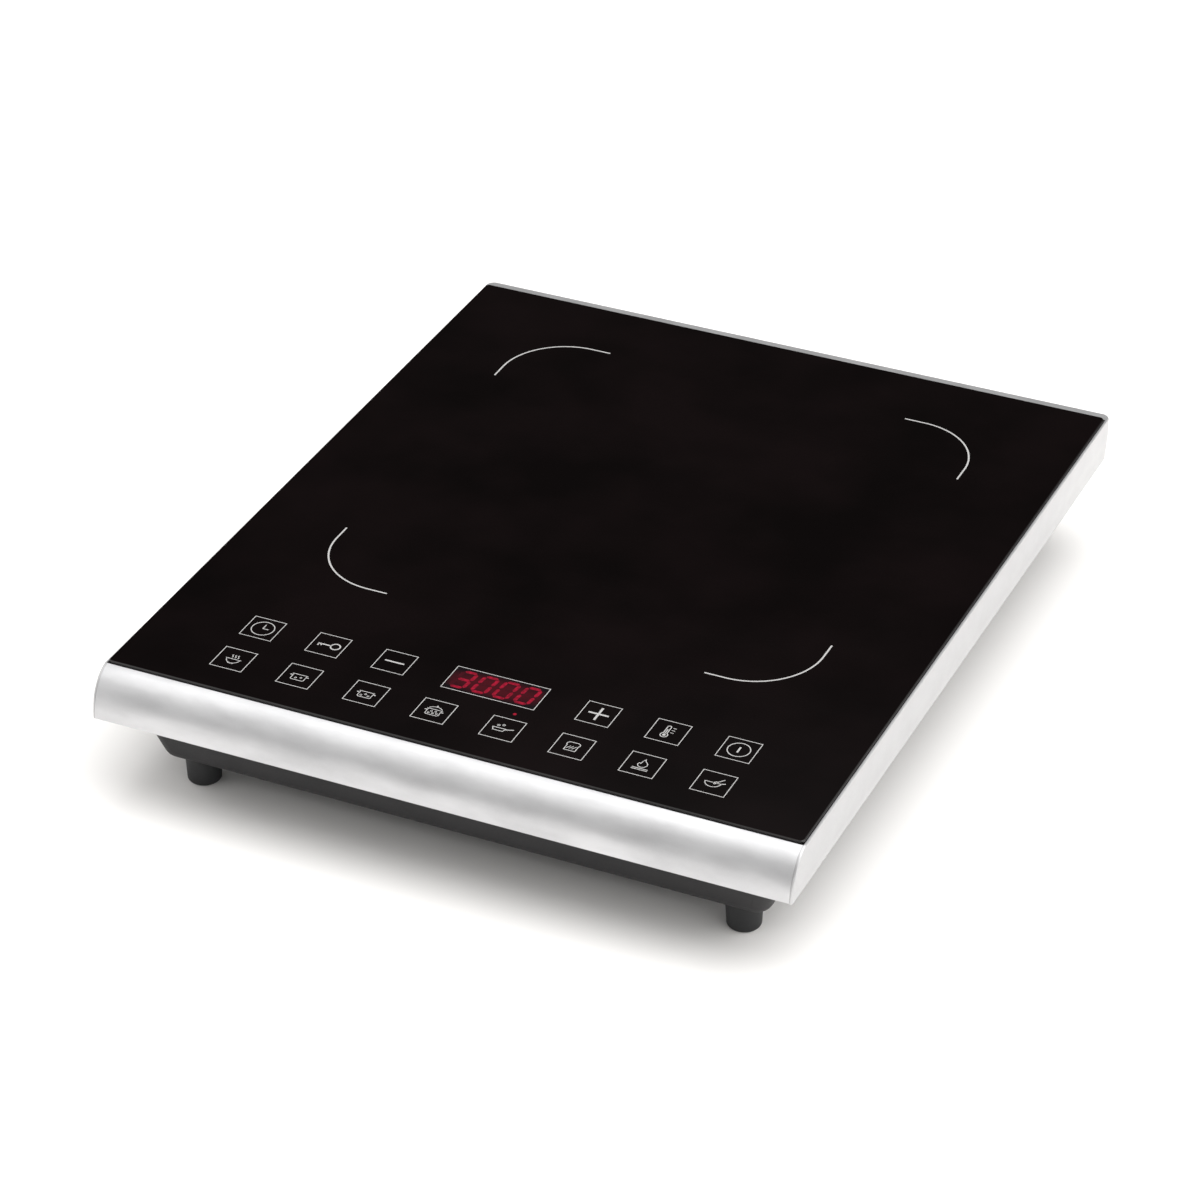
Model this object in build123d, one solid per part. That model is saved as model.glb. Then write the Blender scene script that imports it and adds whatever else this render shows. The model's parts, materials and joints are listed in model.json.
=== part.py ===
from build123d import *
import math
import os

# Portable induction hob. Millimetres, x to the right, y to the back, z up from the worktop.
# The parts are laid out about the glass's front edge, then moved so that the origin is on the
# worktop under the middle of the hob's outline.

# ---- driving dimensions: outside ----
TOP_Z = 60.0            # cooking surface above the worktop
GLASS_W = 302.0
GLASS_D = 347.0
GLASS_T = 4.0
NOSE_D = 13.0           # front bezel, ahead of the glass
BACK_RIM = 5.4          # casing behind the glass
SIDE_LIP = 1.2          # casing beside the glass
GLASS_PROUD = 1.2       # glass above the rim of the casing
GLASS_GAP = 0.2
NOSE_H = 19.0           # height of the front bezel
SKIRT_Z = 38.5          # lower edge of the casing
WAIST_Z = 49.0          # where the skirt starts to lean in
TRAY_BOTTOM_Z = 13.0
TRAY_TOP_X = 141.0      # half the tray's width at its top
TRAY_LEAN = 8.1         # how far the tray's walls lean in from top to bottom
TRAY_WALL = 2.2
TRAY_FLOOR = 2.4
TRAY_CORNER = 7.0
TRAY_EDGE = 6.5         # rounding between walls and floor
FOOT_R = 7.0
FOOT_X = 120.0
FOOT_INSET = 10.5       # foot centre behind the tray's front bottom edge

# ---- driving dimensions: control panel ----
KEY_PITCH = 30.0
KEY_ROW_1 = 21.3        # key rows, back from the glass's front edge
KEY_ROW_2 = 45.9
DISPLAY_W = 40.8
DISPLAY_H = 16.0
LAMP_ROW = 32.3

# ---- driving dimensions: inside ----
COIL_BEHIND_FRONT = 200.2   # coil centre, back from the glass's front edge
FAN_SIZE = 80.0
FAN_T = 20.0
RUNNING_GAP = 0.06      # radial, shafts in their bearings
SCREW_GAP = 0.05        # radial, screws in their holes

# ---- levels and outlines that follow ----
GLASS_Z = TOP_Z - GLASS_T
RIM_Z = TOP_Z - GLASS_PROUD
NOSE_BOTTOM_Z = RIM_Z - NOSE_H
BEAD_T = 1.0
LEDGE_TOP_Z = GLASS_Z - BEAD_T
LEDGE_T = 2.0
LEDGE_Z = LEDGE_TOP_Z - LEDGE_T
CASE_X = GLASS_W / 2 + SIDE_LIP
CASE_WALL = 3.2
FRONT_Y = -168.5                    # front edge of the glass
NOSE_Y = FRONT_Y - NOSE_D
GLASS_BACK_Y = FRONT_Y + GLASS_D
BACK_Y = GLASS_BACK_Y + BACK_RIM
MIDDLE_Y = (NOSE_Y + BACK_Y) / 2    # middle of the outline, which becomes the origin
SKIRT_IN = 0.6                      # how far the skirt leans in
TRAY_TOP_FRONT = FRONT_Y - 0.8
TRAY_TOP_BACK = BACK_Y - 7.5
FLOOR_Z = TRAY_BOTTOM_Z + TRAY_FLOOR
FOOT_BOSS_Z = FLOOR_Z + 3.9         # top of the bosses that the foot screws bite in
FOOT_FRONT_Y = TRAY_TOP_FRONT + TRAY_LEAN + FOOT_INSET
FOOT_REAR_Y = TRAY_TOP_BACK - TRAY_LEAN - FOOT_INSET
COIL_Y = FRONT_Y + COIL_BEHIND_FRONT
FORMER_Z = 46.4
FORMER_T = 3.0
FORMER_R = 96.0
COIL_Z = FORMER_Z + FORMER_T
COIL_T = 5.0
EAR_R = 104.0
FAN_X, FAN_Y = -82.0, -108.0
FAN_Z = 19.4
FAN_TOP_Z = FAN_Z + FAN_T
FAN_HOLE = 35.75
PCB_T = 1.6
MAIN_Z = 20.4
MAIN_TOP = MAIN_Z + PCB_T
MAIN_BOX = (-32.0, 121.0, -150.0, -52.0)
CONTROL_Z = 46.8
CONTROL_TOP = CONTROL_Z + PCB_T
CONTROL_BOX = (-122.0, 122.0, -164.0, -108.0)
CARRIER_T = 2.0
SINK = (-22.0, 44.0, -140.0, -94.0, 27.4, 43.6)            # heatsink's box
SINK_BASE = 4.5
IGBT_X, BRIDGE_X = -4.0, 24.0
DEVICE_HOLE_Y = -110.0
DEVICE_BACK_Y = -104.0
CHOKE = (104.0, -112.0)
SENSOR_PLUG = (-16.0, -57.0)
FAN_PLUG = (-24.0, -70.0)
RIBBON_X, RIBBON_Y = 66.0, -143.0
SCREW_X = 134.5
SCREW_POST_R = 3.8        # casing posts that the casing screws bite in
SCREW_YS = (-138.0, 5.0, 148.0)
RAIL_BACK_Y = FRONT_Y + 13.0
POST_XS = (-112.0, -40.0, 40.0, 112.0)
POST_Y = -159.0
REAR_POST_X = 126.0
REAR_POST_Y = -104.0
GLAND_X = 95.0
GLAND_Z = 28.8
GLAND_NUT_R = 9.2          # half the nut's width across its flats
GLAND_BORE = 3.75
GLAND_Y = BACK_Y - 6.0              # outer face of the moulded block that holds the gland
SEAT_Z = 43.4
TERMINALS = ((15.0, COIL_Y - 103), (0.0, COIL_Y - 103))    # outer and inner coil lead
KEY_XS = tuple(KEY_PITCH * (i - 3.5) for i in range(8))
KEYS = ([(x, FRONT_Y + KEY_ROW_1) for x in KEY_XS]
        + [(x, FRONT_Y + KEY_ROW_2) for x in KEY_XS if abs(x) > KEY_PITCH])


# ---- helpers ----
def block(x0, x1, y0, y1, z0, z1):
    """Box between two corners."""
    return Pos((x0 + x1) / 2, (y0 + y1) / 2, (z0 + z1) / 2) * Box(x1 - x0, y1 - y0, z1 - z0)


def slab(x0, x1, y0, y1, z0, z1, radius):
    """Box with rounded vertical edges."""
    outline = Pos((x0 + x1) / 2, (y0 + y1) / 2, z0) * RectangleRounded(x1 - x0, y1 - y0, radius)
    return extrude(outline, z1 - z0)


def rod(x, y, z0, z1, radius):
    """Upright cylinder."""
    return Pos(x, y, (z0 + z1) / 2) * Cylinder(radius, z1 - z0)


def ring(x, y, z0, z1, outer, inner):
    """Upright tube."""
    return rod(x, y, z0, z1, outer) - rod(x, y, z0 - 1, z1 + 1, inner)


def frustum(low, high, z0, z1, r_low, r_high):
    """Solid between two rounded rectangles, each (half width, front y, back y)."""
    faces = []
    for (half, y0, y1), z, radius in ((low, z0, r_low), (high, z1, r_high)):
        faces.append(Pos(0, (y0 + y1) / 2, z) * RectangleRounded(2 * half, y1 - y0, radius))
    return loft(faces, ruled=True)


def screw(x, y, seat_z, tip_z, shank_r, head_r, head_h):
    """Pan-head screw: its head rests at seat_z, and its tip is at tip_z, above or below."""
    up = tip_z > seat_z
    head_z = seat_z - head_h if up else seat_z
    body = rod(x, y, head_z, head_z + head_h, head_r)
    crown = body.faces().sort_by(Axis.Z)[0 if up else -1]
    body = fillet(crown.edges(), head_h * 0.4)
    slot_z = head_z if up else head_z + head_h
    for wide, deep in ((head_r * 1.1, head_r * 0.28), (head_r * 0.28, head_r * 1.1)):
        body -= Pos(x, y, slot_z) * Box(wide, deep, head_h * 0.9)
    return body + rod(x, y, min(seat_z, tip_z), max(seat_z, tip_z), shank_r)


def wire(points, radius, bend):
    """Round wire along straight runs joined by arcs."""
    path = FilletPolyline(*points, radius=bend) if len(points) > 2 else Line(*points)
    start = Plane(origin=path @ 0, z_dir=path % 0)
    return sweep(start * Circle(radius), path=path)


def coil_spring(x, y, z0, z1, mean_r, wire_r, turns):
    """Helical spring that stands between z0 and z1."""
    pitch = (z1 - z0 - 2 * wire_r) / turns
    path = Pos(x, y, z0 + wire_r) * Helix(pitch=pitch, height=pitch * turns, radius=mean_r)
    start = Plane(origin=path @ 0, z_dir=path % 0)
    return sweep(start * Circle(wire_r), path=path, is_frenet=True)


def joined(shapes):
    """Several separate solids in one sub-part."""
    return Compound(children=list(shapes))


def mirrored_x(values_y, x):
    """Places at +x and -x for each y."""
    return [(side * x, y) for y in values_y for side in (-1, 1)]


FEET = {
    "foot_front_left": (-FOOT_X, FOOT_FRONT_Y),
    "foot_front_right": (FOOT_X, FOOT_FRONT_Y),
    "foot_rear_left": (-FOOT_X, FOOT_REAR_Y),
    "foot_rear_right": (FOOT_X, FOOT_REAR_Y),
}
CASE_SCREWS = mirrored_x(SCREW_YS, SCREW_X)
COIL_EARS = [(EAR_R * math.cos(math.radians(a)), COIL_Y + EAR_R * math.sin(math.radians(a)))
             for a in (45, 135, 225, 315)]
MAIN_POSTS = [(MAIN_BOX[0] + 5, MAIN_BOX[2] + 5), (MAIN_BOX[1] - 5, MAIN_BOX[2] + 5),
              (MAIN_BOX[0] + 5, MAIN_BOX[3] - 5), (MAIN_BOX[1] - 5, MAIN_BOX[3] - 5)]
FAN_POSTS = [(FAN_X + sx * FAN_HOLE, FAN_Y + sy * FAN_HOLE) for sx in (-1, 1) for sy in (-1, 1)]


# ---- outside ----
def nose_outline(inset):
    """Curve over the front bezel, from the glass's edge down to its lower edge."""
    points = ((0, RIM_Z - inset), (-4.5 + 0.3 * inset, RIM_Z - 0.6 - inset),
              (-11.5 + inset, RIM_Z - 5.5 - 0.6 * inset), (-NOSE_D + inset, NOSE_BOTTOM_Z))
    return Bezier(*[(0, FRONT_Y + y, z) for y, z in points])


def make_glass_top():
    plate = slab(-GLASS_W / 2, GLASS_W / 2, FRONT_Y, GLASS_BACK_Y, GLASS_Z, TOP_Z, 2.0)
    rims = plate.edges().group_by(Axis.Z)
    return chamfer(rims[0] + rims[-1], 0.4)


def make_glass_adhesive():
    inset, width = 2.5, 7.0
    x, y0, y1 = GLASS_W / 2 - inset, FRONT_Y + inset, GLASS_BACK_Y - inset
    outer = slab(-x, x, y0, y1, LEDGE_TOP_Z, GLASS_Z, 5.0)
    return outer - slab(-x + width, x - width, y0 + width, y1 - width, LEDGE_TOP_Z - 1, GLASS_Z + 1, 3.0)


def nose_envelope():
    """Everything behind the curve of the nose, down to the skirt's edge."""
    curve = nose_outline(0)
    far = BACK_Y + 5
    rest = Polyline((0, NOSE_Y, NOSE_BOTTOM_Z), (0, NOSE_Y + 1.5, SKIRT_Z), (0, far, SKIRT_Z),
                    (0, far, RIM_Z), (0, FRONT_Y, RIM_Z))
    return extrude(make_face(curve.edges() + rest.edges()), CASE_X + 5, both=True)


def make_casing_frame():
    corner = 4.0
    straight = slab(-CASE_X, CASE_X, NOSE_Y - 10, BACK_Y, WAIST_Z, RIM_Z, corner)
    lean = frustum((CASE_X - SKIRT_IN, NOSE_Y - 10, BACK_Y - SKIRT_IN), (CASE_X, NOSE_Y - 10, BACK_Y),
                   SKIRT_Z, WAIST_Z, corner, corner)
    frame = (straight + lean) & nose_envelope()
    nose_curves = [e for e in frame.edges().filter_by(GeomType.BSPLINE)
                   if e.center().Y < FRONT_Y and abs(e.center().X) > CASE_X - SKIRT_IN]
    rim = [e for e in frame.edges().group_by(Axis.Z)[-1] if e.center().Y > FRONT_Y + 1]
    frame = fillet(nose_curves + rim, 0.7)
    inner = CASE_X - CASE_WALL
    frame -= block(-inner, inner, FRONT_Y - 0.2, BACK_Y - CASE_WALL, SKIRT_Z - 1, LEDGE_Z)
    frame -= block(-GLASS_W / 2 - GLASS_GAP, GLASS_W / 2 + GLASS_GAP, FRONT_Y - GLASS_GAP,
                   GLASS_BACK_Y + GLASS_GAP, LEDGE_TOP_Z, TOP_Z)
    frame -= slab(-140, 140, RAIL_BACK_Y, GLASS_BACK_Y - 10, LEDGE_Z - 1, LEDGE_TOP_Z + 1, 6)
    nose_x = GLASS_W / 2 + 0.05
    frame -= block(-nose_x, nose_x, NOSE_Y - 1, FRONT_Y - GLASS_GAP, SKIRT_Z - 1, TOP_Z)
    for x, y in CASE_SCREWS:
        side = math.copysign(1, x)
        tab = sorted((side * (SCREW_X - 4), side * (inner + 1)))
        frame += block(tab[0], tab[1], y - 4, y + 4, LEDGE_Z, LEDGE_TOP_Z)
        frame += rod(x, y, FLOOR_Z + 23.6, LEDGE_Z, SCREW_POST_R)
    for x in POST_XS:
        frame += rod(x, POST_Y, CONTROL_TOP, LEDGE_Z, 3.0)
    for x, y in CASE_SCREWS:
        frame -= rod(x, y, SKIRT_Z - 5, 50, 1.6)
    for x in POST_XS:
        frame -= rod(x, POST_Y, CONTROL_TOP - 1, LEDGE_Z - 0.5, 1.3)
    return frame


def make_front_bezel():
    """Curved shell with a web against the glass's edge, ribs, and hooks under the front rail."""
    half, wall, web = GLASS_W / 2 - 0.05, 2.0, 2.0
    outer, inner = nose_outline(0), nose_outline(wall)
    ends = [Line((0, NOSE_Y, NOSE_BOTTOM_Z), (0, NOSE_Y + wall, NOSE_BOTTOM_Z)),
            Line((0, FRONT_Y, RIM_Z - wall), (0, FRONT_Y, RIM_Z))]
    shell = extrude(make_face([outer.edge(), inner.edge()] + [e.edge() for e in ends]), half, both=True)
    shell -= block(-half - 1, half + 1, FRONT_Y - 0.3, FRONT_Y + 1, NOSE_BOTTOM_Z, TOP_Z)
    shell += block(-half, half, FRONT_Y - 0.3 - web, FRONT_Y - 0.3, LEDGE_Z - 4, RIM_Z - 1)
    cavity = [Line((0, NOSE_Y + wall, NOSE_BOTTOM_Z), (0, FRONT_Y, NOSE_BOTTOM_Z)),
              Line((0, FRONT_Y, NOSE_BOTTOM_Z), (0, FRONT_Y, RIM_Z - wall))]
    rib = extrude(make_face([inner.edge()] + [e.edge() for e in cavity]), 0.8, both=True)
    rib &= block(-1, 1, NOSE_Y, FRONT_Y - 0.4, LEDGE_Z - 4, RIM_Z)
    for i in range(-3, 4):
        shell += Pos(i * 46.0, 0, 0) * rib
    for i in range(-2, 3):
        x = i * 58.0
        shell += block(x - 7, x + 7, FRONT_Y - 2, FRONT_Y + 4, LEDGE_Z - 2, LEDGE_Z - 0.02)
    return shell


def tray_solid(inset, z0, z1):
    """The tray's leaning outer form, or its cavity when inset is the wall's thickness."""
    top = (TRAY_TOP_X - inset, TRAY_TOP_FRONT + inset, TRAY_TOP_BACK - inset)
    lean = TRAY_LEAN * (NOSE_BOTTOM_Z - z0) / (NOSE_BOTTOM_Z - TRAY_BOTTOM_Z)
    low = (top[0] - lean, top[1] + lean, top[2] - lean)
    rise = TRAY_LEAN * (z1 - NOSE_BOTTOM_Z) / (NOSE_BOTTOM_Z - TRAY_BOTTOM_Z)
    high = (top[0] + rise, top[1] - rise, top[2] + rise)
    return frustum(low, high, z0, z1, TRAY_CORNER - inset, TRAY_CORNER - inset)


def tray_outer():
    body = tray_solid(0, TRAY_BOTTOM_Z, NOSE_BOTTOM_Z)
    return fillet(body.faces().sort_by(Axis.Z)[0].edges(), TRAY_EDGE)


def tray_cavity():
    body = tray_solid(TRAY_WALL, FLOOR_Z, NOSE_BOTTOM_Z + 3)
    return fillet(body.faces().sort_by(Axis.Z)[0].edges(), TRAY_EDGE - TRAY_WALL)


def vent_cuts():
    """Fan intake, coil vents in the floor, and outlets in the rear and right walls."""
    cuts = []
    for i in range(-6, 7):
        x = i * 5.6
        reach = math.sqrt(37.0 ** 2 - x ** 2)
        for y0, y1 in ((-reach, -13.5), (-11.0, 11.0), (13.5, reach)):
            if y1 - y0 > 6:
                cuts.append(slab(FAN_X + x - 1.6, FAN_X + x + 1.6, FAN_Y + y0, FAN_Y + y1,
                                 TRAY_BOTTOM_Z - 1, FLOOR_Z + 1, 1.5))
    for i in range(-7, 8):
        x = i * 8.0
        cuts.append(slab(x - 1.8, x + 1.8, 108, 140, TRAY_BOTTOM_Z - 1, FLOOR_Z + 1, 1.7))
    for i in range(22):
        x = -112.0 + i * 7.6
        cuts.append(block(x - 1.7, x + 1.7, TRAY_TOP_BACK - TRAY_LEAN - 5, TRAY_TOP_BACK + 5, 21, 36))
    for i in range(18):
        y = -40.0 + i * 7.6
        cuts.append(block(TRAY_TOP_X - TRAY_LEAN - 5, TRAY_TOP_X + 5, y - 1.7, y + 1.7, 21, 36))
    return cuts


def make_base_tray(outer):
    well_z = FLOOR_Z + 23.5             # top of the shelves that the casing screws pull on
    cavity = tray_cavity()
    tray = outer - cavity
    flange_x, flange_t = CASE_X - CASE_WALL - 0.3, 2.0
    flange = block(-flange_x, flange_x, NOSE_Y + 2.5, BACK_Y - CASE_WALL - 0.3,
                   NOSE_BOTTOM_Z, NOSE_BOTTOM_Z + flange_t)
    tray += flange - cavity
    pads = [rod(x, y, FLOOR_Z - 1, well_z, 6.4) for x, y in CASE_SCREWS]
    tray += [pad & outer for pad in pads]
    block_y = TRAY_TOP_BACK - TRAY_LEAN - 3
    gland_block = block(GLAND_X - 17, GLAND_X + 17, block_y, GLAND_Y, 17.0, NOSE_BOTTOM_Z + 1)
    tray += gland_block
    tray -= block(GLAND_X - 14.5, GLAND_X + 14.5, block_y - 2, GLAND_Y - 2.6, 19.5, NOSE_BOTTOM_Z - 1.5)
    tray -= vent_cuts()
    for x, y in FEET.values():
        tray += rod(x, y, FLOOR_Z - 1, FOOT_BOSS_Z, 4.2) & outer
    for x, y in FAN_POSTS:
        tray += rod(x, y, FLOOR_Z - 1, FAN_Z, 3.6)
    for x, y in MAIN_POSTS:
        tray += rod(x, y, FLOOR_Z - 1, MAIN_Z, 3.6)
    for x, y in COIL_EARS:
        tray += rod(x, y, FLOOR_Z - 1, FORMER_Z, 4.5)
        for turn in (0, 90):
            web = Pos(x, y, (FLOOR_Z + 30) / 2) * Rot(0, 0, 45 + turn) * Box(15, 1.6, 30 - FLOOR_Z + 1)
            tray += web
    for side in (-1, 1):
        tray += rod(side * REAR_POST_X, REAR_POST_Y, FLOOR_Z - 1, CONTROL_Z - CARRIER_T, 3.2) & (
            outer + block(-140, 140, -120, -90, NOSE_BOTTOM_Z, TOP_Z))
    for x, y in CASE_SCREWS:
        tray -= rod(x, y, TRAY_BOTTOM_Z - 1, well_z - 3, 4.2)
        tray -= rod(x, y, well_z - 4, well_z + 1, 2.0)
    for x, y in FEET.values():
        tray -= rod(x, y, TRAY_BOTTOM_Z - 1, FOOT_BOSS_Z - 0.3, 1.8)
    for x, y in FAN_POSTS + MAIN_POSTS:
        tray -= rod(x, y, TRAY_BOTTOM_Z + 1, MAIN_Z + 1, 1.6)
    for x, y in COIL_EARS:
        tray -= rod(x, y, FORMER_Z - 12, FORMER_Z + 1, 1.8)
    for side in (-1, 1):
        tray -= rod(side * REAR_POST_X, REAR_POST_Y, 34, CONTROL_Z, 1.3)
    tray -= Pos(GLAND_X, GLAND_Y - 2, GLAND_Z) * Rot(90, 0, 0) * Cylinder(7.6, 8)
    tray -= slab(-45, 45, 30, 80, TRAY_BOTTOM_Z - 1, TRAY_BOTTOM_Z + 0.4, 3)
    return tray


def make_foot(x, y, outer):
    """Rubber foot with a rounded tread; its top follows the tray's rounded edge."""
    top = TRAY_BOTTOM_Z + 5
    foot = loft([Pos(x, y, 0) * Circle(FOOT_R), Pos(x, y, top) * Circle(FOOT_R + 0.8)], ruled=True)
    foot = fillet(foot.edges().group_by(Axis.Z)[0], 1.6)
    foot -= rod(x, y, -1, 5.0, 3.9)
    foot -= rod(x, y, 0, top + 1, 1.9)
    return foot - outer


def make_cord_gland():
    """Moulded bush in the rear wall: flange outside, thread and nut inside."""
    y_out = GLAND_Y
    parts = ((y_out, y_out + 3.0, 9.6), (y_out - 12.0, y_out, 7.5))
    gland = None
    for y0, y1, radius in parts:
        piece = Pos(GLAND_X, (y0 + y1) / 2, GLAND_Z) * Rot(90, 0, 0) * Cylinder(radius, y1 - y0)
        gland = piece if gland is None else gland + piece
    gland = fillet(gland.faces().sort_by(Axis.Y)[-1].edges(), 1.0)
    return gland - Pos(GLAND_X, y_out, GLAND_Z) * Rot(90, 0, 0) * Cylinder(GLAND_BORE, 40)


def make_gland_locknut():
    y0, y1 = GLAND_Y - 2.6 - 4.0, GLAND_Y - 2.6
    plane = Plane(origin=(GLAND_X, y0, GLAND_Z), x_dir=(1, 0, 0), z_dir=(0, 1, 0))
    nut = extrude(plane * RegularPolygon(GLAND_NUT_R, 6, major_radius=False), y1 - y0)
    return nut - Pos(GLAND_X, y0, GLAND_Z) * Rot(90, 0, 0) * Cylinder(7.5 + SCREW_GAP, 20)


# ---- coil ----
def make_coil_former():
    at = Pos(0, COIL_Y, 0)
    former = ring(0, COIL_Y, FORMER_Z, COIL_Z, FORMER_R, 88.0)
    former += ring(0, COIL_Y, FORMER_Z, COIL_Z, 34.0, 12.0)
    former += ring(0, COIL_Y, COIL_Z - 0.5, COIL_Z + 4.0, FORMER_R, FORMER_R - 1.6)
    for i in range(8):
        turn = at * Rot(0, 0, 22.5 + 45 * i)
        former += turn * block(30, 90, -10, 10, FORMER_Z, COIL_Z)
        for side in (-1, 1):
            rail = sorted((side * 7.2, side * 8.8))
            former += turn * block(27, 91, rail[0], rail[1], FORMER_Z - 5, FORMER_Z)
    for x, y in COIL_EARS:
        former += rod(x, y, FORMER_Z, COIL_Z, 5.5)
        angle = math.degrees(math.atan2(y - COIL_Y, x))
        former += at * Rot(0, 0, angle) * block(92, EAR_R, -4, 4, FORMER_Z, COIL_Z)
        former -= rod(x, y, FORMER_Z - 1, COIL_Z + 1, 2.1)
    former += ring(0, COIL_Y, SEAT_Z - 2, COIL_Z, 12.5, 10.5) + rod(0, COIL_Y, SEAT_Z - 2, SEAT_Z, 12.5)
    former += rod(0, COIL_Y, SEAT_Z - 7, SEAT_Z, 6.2)
    former -= rod(0, COIL_Y, SEAT_Z - 9, SEAT_Z + 1, 4.0 + RUNNING_GAP)
    outer_lead_x = TERMINALS[0][0]
    former -= block(outer_lead_x - 5, outer_lead_x + 5, COIL_Y - 100, COIL_Y - 92.2, COIL_Z, COIL_Z + 5)
    former -= rod(TERMINALS[1][0], COIL_Y - 27, FORMER_Z - 1, COIL_Z + 1, 2.4)
    return former


def make_induction_coil():
    """Flat spiral winding, drawn as close rings of litz bundle fused side by side."""
    pitch, radius = 4.9, 2.5
    turns = Sketch()
    for i in range(14):
        turns += Pos(26.5 + i * pitch, COIL_Z + radius, 0) * Circle(radius)
    face = Plane.XZ * turns
    return Pos(0, COIL_Y, 0) * revolve(face, Axis.Z)


def make_ferrite_bars():
    bars = []
    for i in range(8):
        bar = fillet(block(28, 88, -7, 7, FORMER_Z - 5, FORMER_Z).edges().filter_by(Axis.Z), 1.0)
        bars.append(Pos(0, COIL_Y, 0) * Rot(0, 0, 22.5 + 45 * i) * bar)
    return joined(bars)


def make_mica_sheet():
    z = COIL_Z + COIL_T
    return ring(0, COIL_Y, z, z + 0.6, 94.0, 11.0)


def make_coil_screws():
    return joined(screw(x, y, COIL_Z, COIL_Z - 13, 1.75, 3.6, 2.2) for x, y in COIL_EARS)


def make_coil_leads():
    """Two litz leads: one from the outer turn, one from the inner turn under the former."""
    (outer_x, y), (inner_x, _) = TERMINALS
    outer = [(outer_x, COIL_Y - 91.8, COIL_Z + 2.5), (outer_x, y, COIL_Z + 2.5), (outer_x, y, 29.6)]
    inner = [(inner_x, COIL_Y - 27, COIL_Z - 0.2), (inner_x, COIL_Y - 27, 38), (inner_x, y, 38),
             (inner_x, y, 29.6)]
    return joined((wire(outer, 2.0, 6.0), wire(inner, 2.0, 4.0)))


# ---- pan temperature sensor ----
def make_sensor_cap():
    """Spring-loaded heat pickup under the glass, with a stem that slides in the former."""
    cap_top = GLASS_Z - 0.1
    cap = rod(0, COIL_Y, cap_top - 3, cap_top, 9.5)
    cap = fillet(cap.edges().group_by(Axis.Z)[-1], 0.8)
    cap += rod(0, COIL_Y, SEAT_Z - 9.0, cap_top - 2, 4.0)
    cap += rod(0, COIL_Y, SEAT_Z - 9.0, SEAT_Z - 7.4, 5.0)
    return cap - rod(0, COIL_Y, SEAT_Z - 12, cap_top - 0.6, 1.8)


def make_thermistor():
    top = GLASS_Z - 0.7
    return fillet(rod(0, COIL_Y, top - 4, top, 1.75).edges(), 0.5)


def make_sensor_spring():
    return coil_spring(0, COIL_Y, SEAT_Z + 0.05, GLASS_Z - 3.15, 7.2, 0.5, 4.0)


def make_sensor_lead():
    """Twin lead from the stem down under the coil to its connector on the main board."""
    leads = []
    for dx in (-0.9, 0.9):
        points = [(dx, COIL_Y, SEAT_Z - 9.1), (dx, COIL_Y, 25), (dx - 16, -20, 25), (dx - 16, -54.1, 25)]
        leads.append(wire(points, 0.7, 4.0))
    return joined(leads)


# ---- main board ----
def make_main_board():
    x0, x1, y0, y1 = MAIN_BOX
    board = slab(x0, x1, y0, y1, MAIN_Z, MAIN_TOP, 2.0)
    for x, y in MAIN_POSTS:
        board -= rod(x, y, MAIN_Z - 1, MAIN_TOP + 1, 1.8)
    return board


def make_board_screws():
    return joined(screw(x, y, MAIN_TOP, TRAY_BOTTOM_Z + 2, 1.55, 3.2, 2.0) for x, y in MAIN_POSTS)


def make_heatsink():
    x0, x1, y0, y1, z0, z1 = SINK
    sink = block(x0, x1, y0, y1, z0, z0 + SINK_BASE)
    count = 13
    pitch = (y1 - y0 - 1.6) / (count - 1)
    for i in range(count):
        y = y0 + i * pitch
        sink += block(x0, x1, y, y + 1.6, z0 + SINK_BASE, z1)
    for x in (x0 + 3, x1 - 3):
        for y in (y0 + 3, y1 - 3):
            sink += block(x - 2.5, x + 2.5, y - 2.5, y + 2.5, MAIN_TOP, z0)
    for x in (IGBT_X, BRIDGE_X):
        sink -= rod(x, DEVICE_HOLE_Y, z0 - 1, z1 + 1, 1.7)
        sink -= rod(x, DEVICE_HOLE_Y, z0 + SINK_BASE, z1 + 1, 4.2)
    return sink


def flat_device(x, width, length, leads):
    """Power device that lies under the heatsink, with its legs bent down into the board."""
    z1 = SINK[4]
    y0 = DEVICE_BACK_Y - length
    body = chamfer(block(x - width / 2, x + width / 2, y0, DEVICE_BACK_Y, z1 - 5, z1).edges(), 0.4)
    body -= rod(x, DEVICE_HOLE_Y, z1 - 8, z1 + 1, 1.75)
    pitch = width / (leads + 0.5)
    for i in range(leads):
        lead_x = x + (i - (leads - 1) / 2) * pitch
        body += block(lead_x - 0.6, lead_x + 0.6, y0 - 4, y0 + 0.5, z1 - 3, z1 - 2.2)
        body += block(lead_x - 0.6, lead_x + 0.6, y0 - 4, y0 - 3.2, MAIN_TOP, z1 - 2.2)
    return body


def make_igbt():
    return flat_device(IGBT_X, 15.8, 21.0, 3)


def make_bridge_rectifier():
    return flat_device(BRIDGE_X, 24.0, 20.0, 4)


def make_heatsink_screws():
    seat = SINK[4] + SINK_BASE
    return joined(screw(x, DEVICE_HOLE_Y, seat, seat - 9, 1.65, 3.2, 2.2) for x in (IGBT_X, BRIDGE_X))


def film_capacitor(x, y, width, depth, height):
    """Box film capacitor, standing on the board."""
    body = block(x - width / 2, x + width / 2, y - depth / 2, y + depth / 2,
                 MAIN_TOP + 0.6, MAIN_TOP + height)
    body = fillet(body.edges().filter_by(Axis.Z) + body.edges().group_by(Axis.Z)[-1], 0.9)
    for side in (-1, 1):
        body += rod(x + side * (width / 2 - 3), y, MAIN_TOP, MAIN_TOP + 1, 0.5)
    return body


def make_resonant_capacitor():
    return film_capacitor(71, -70, 32, 18, 17)


def make_filter_capacitor():
    return film_capacitor(71, -96, 38, 22, 20)


def make_line_capacitor():
    return film_capacitor(104, -134, 24, 12, 18)


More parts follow.
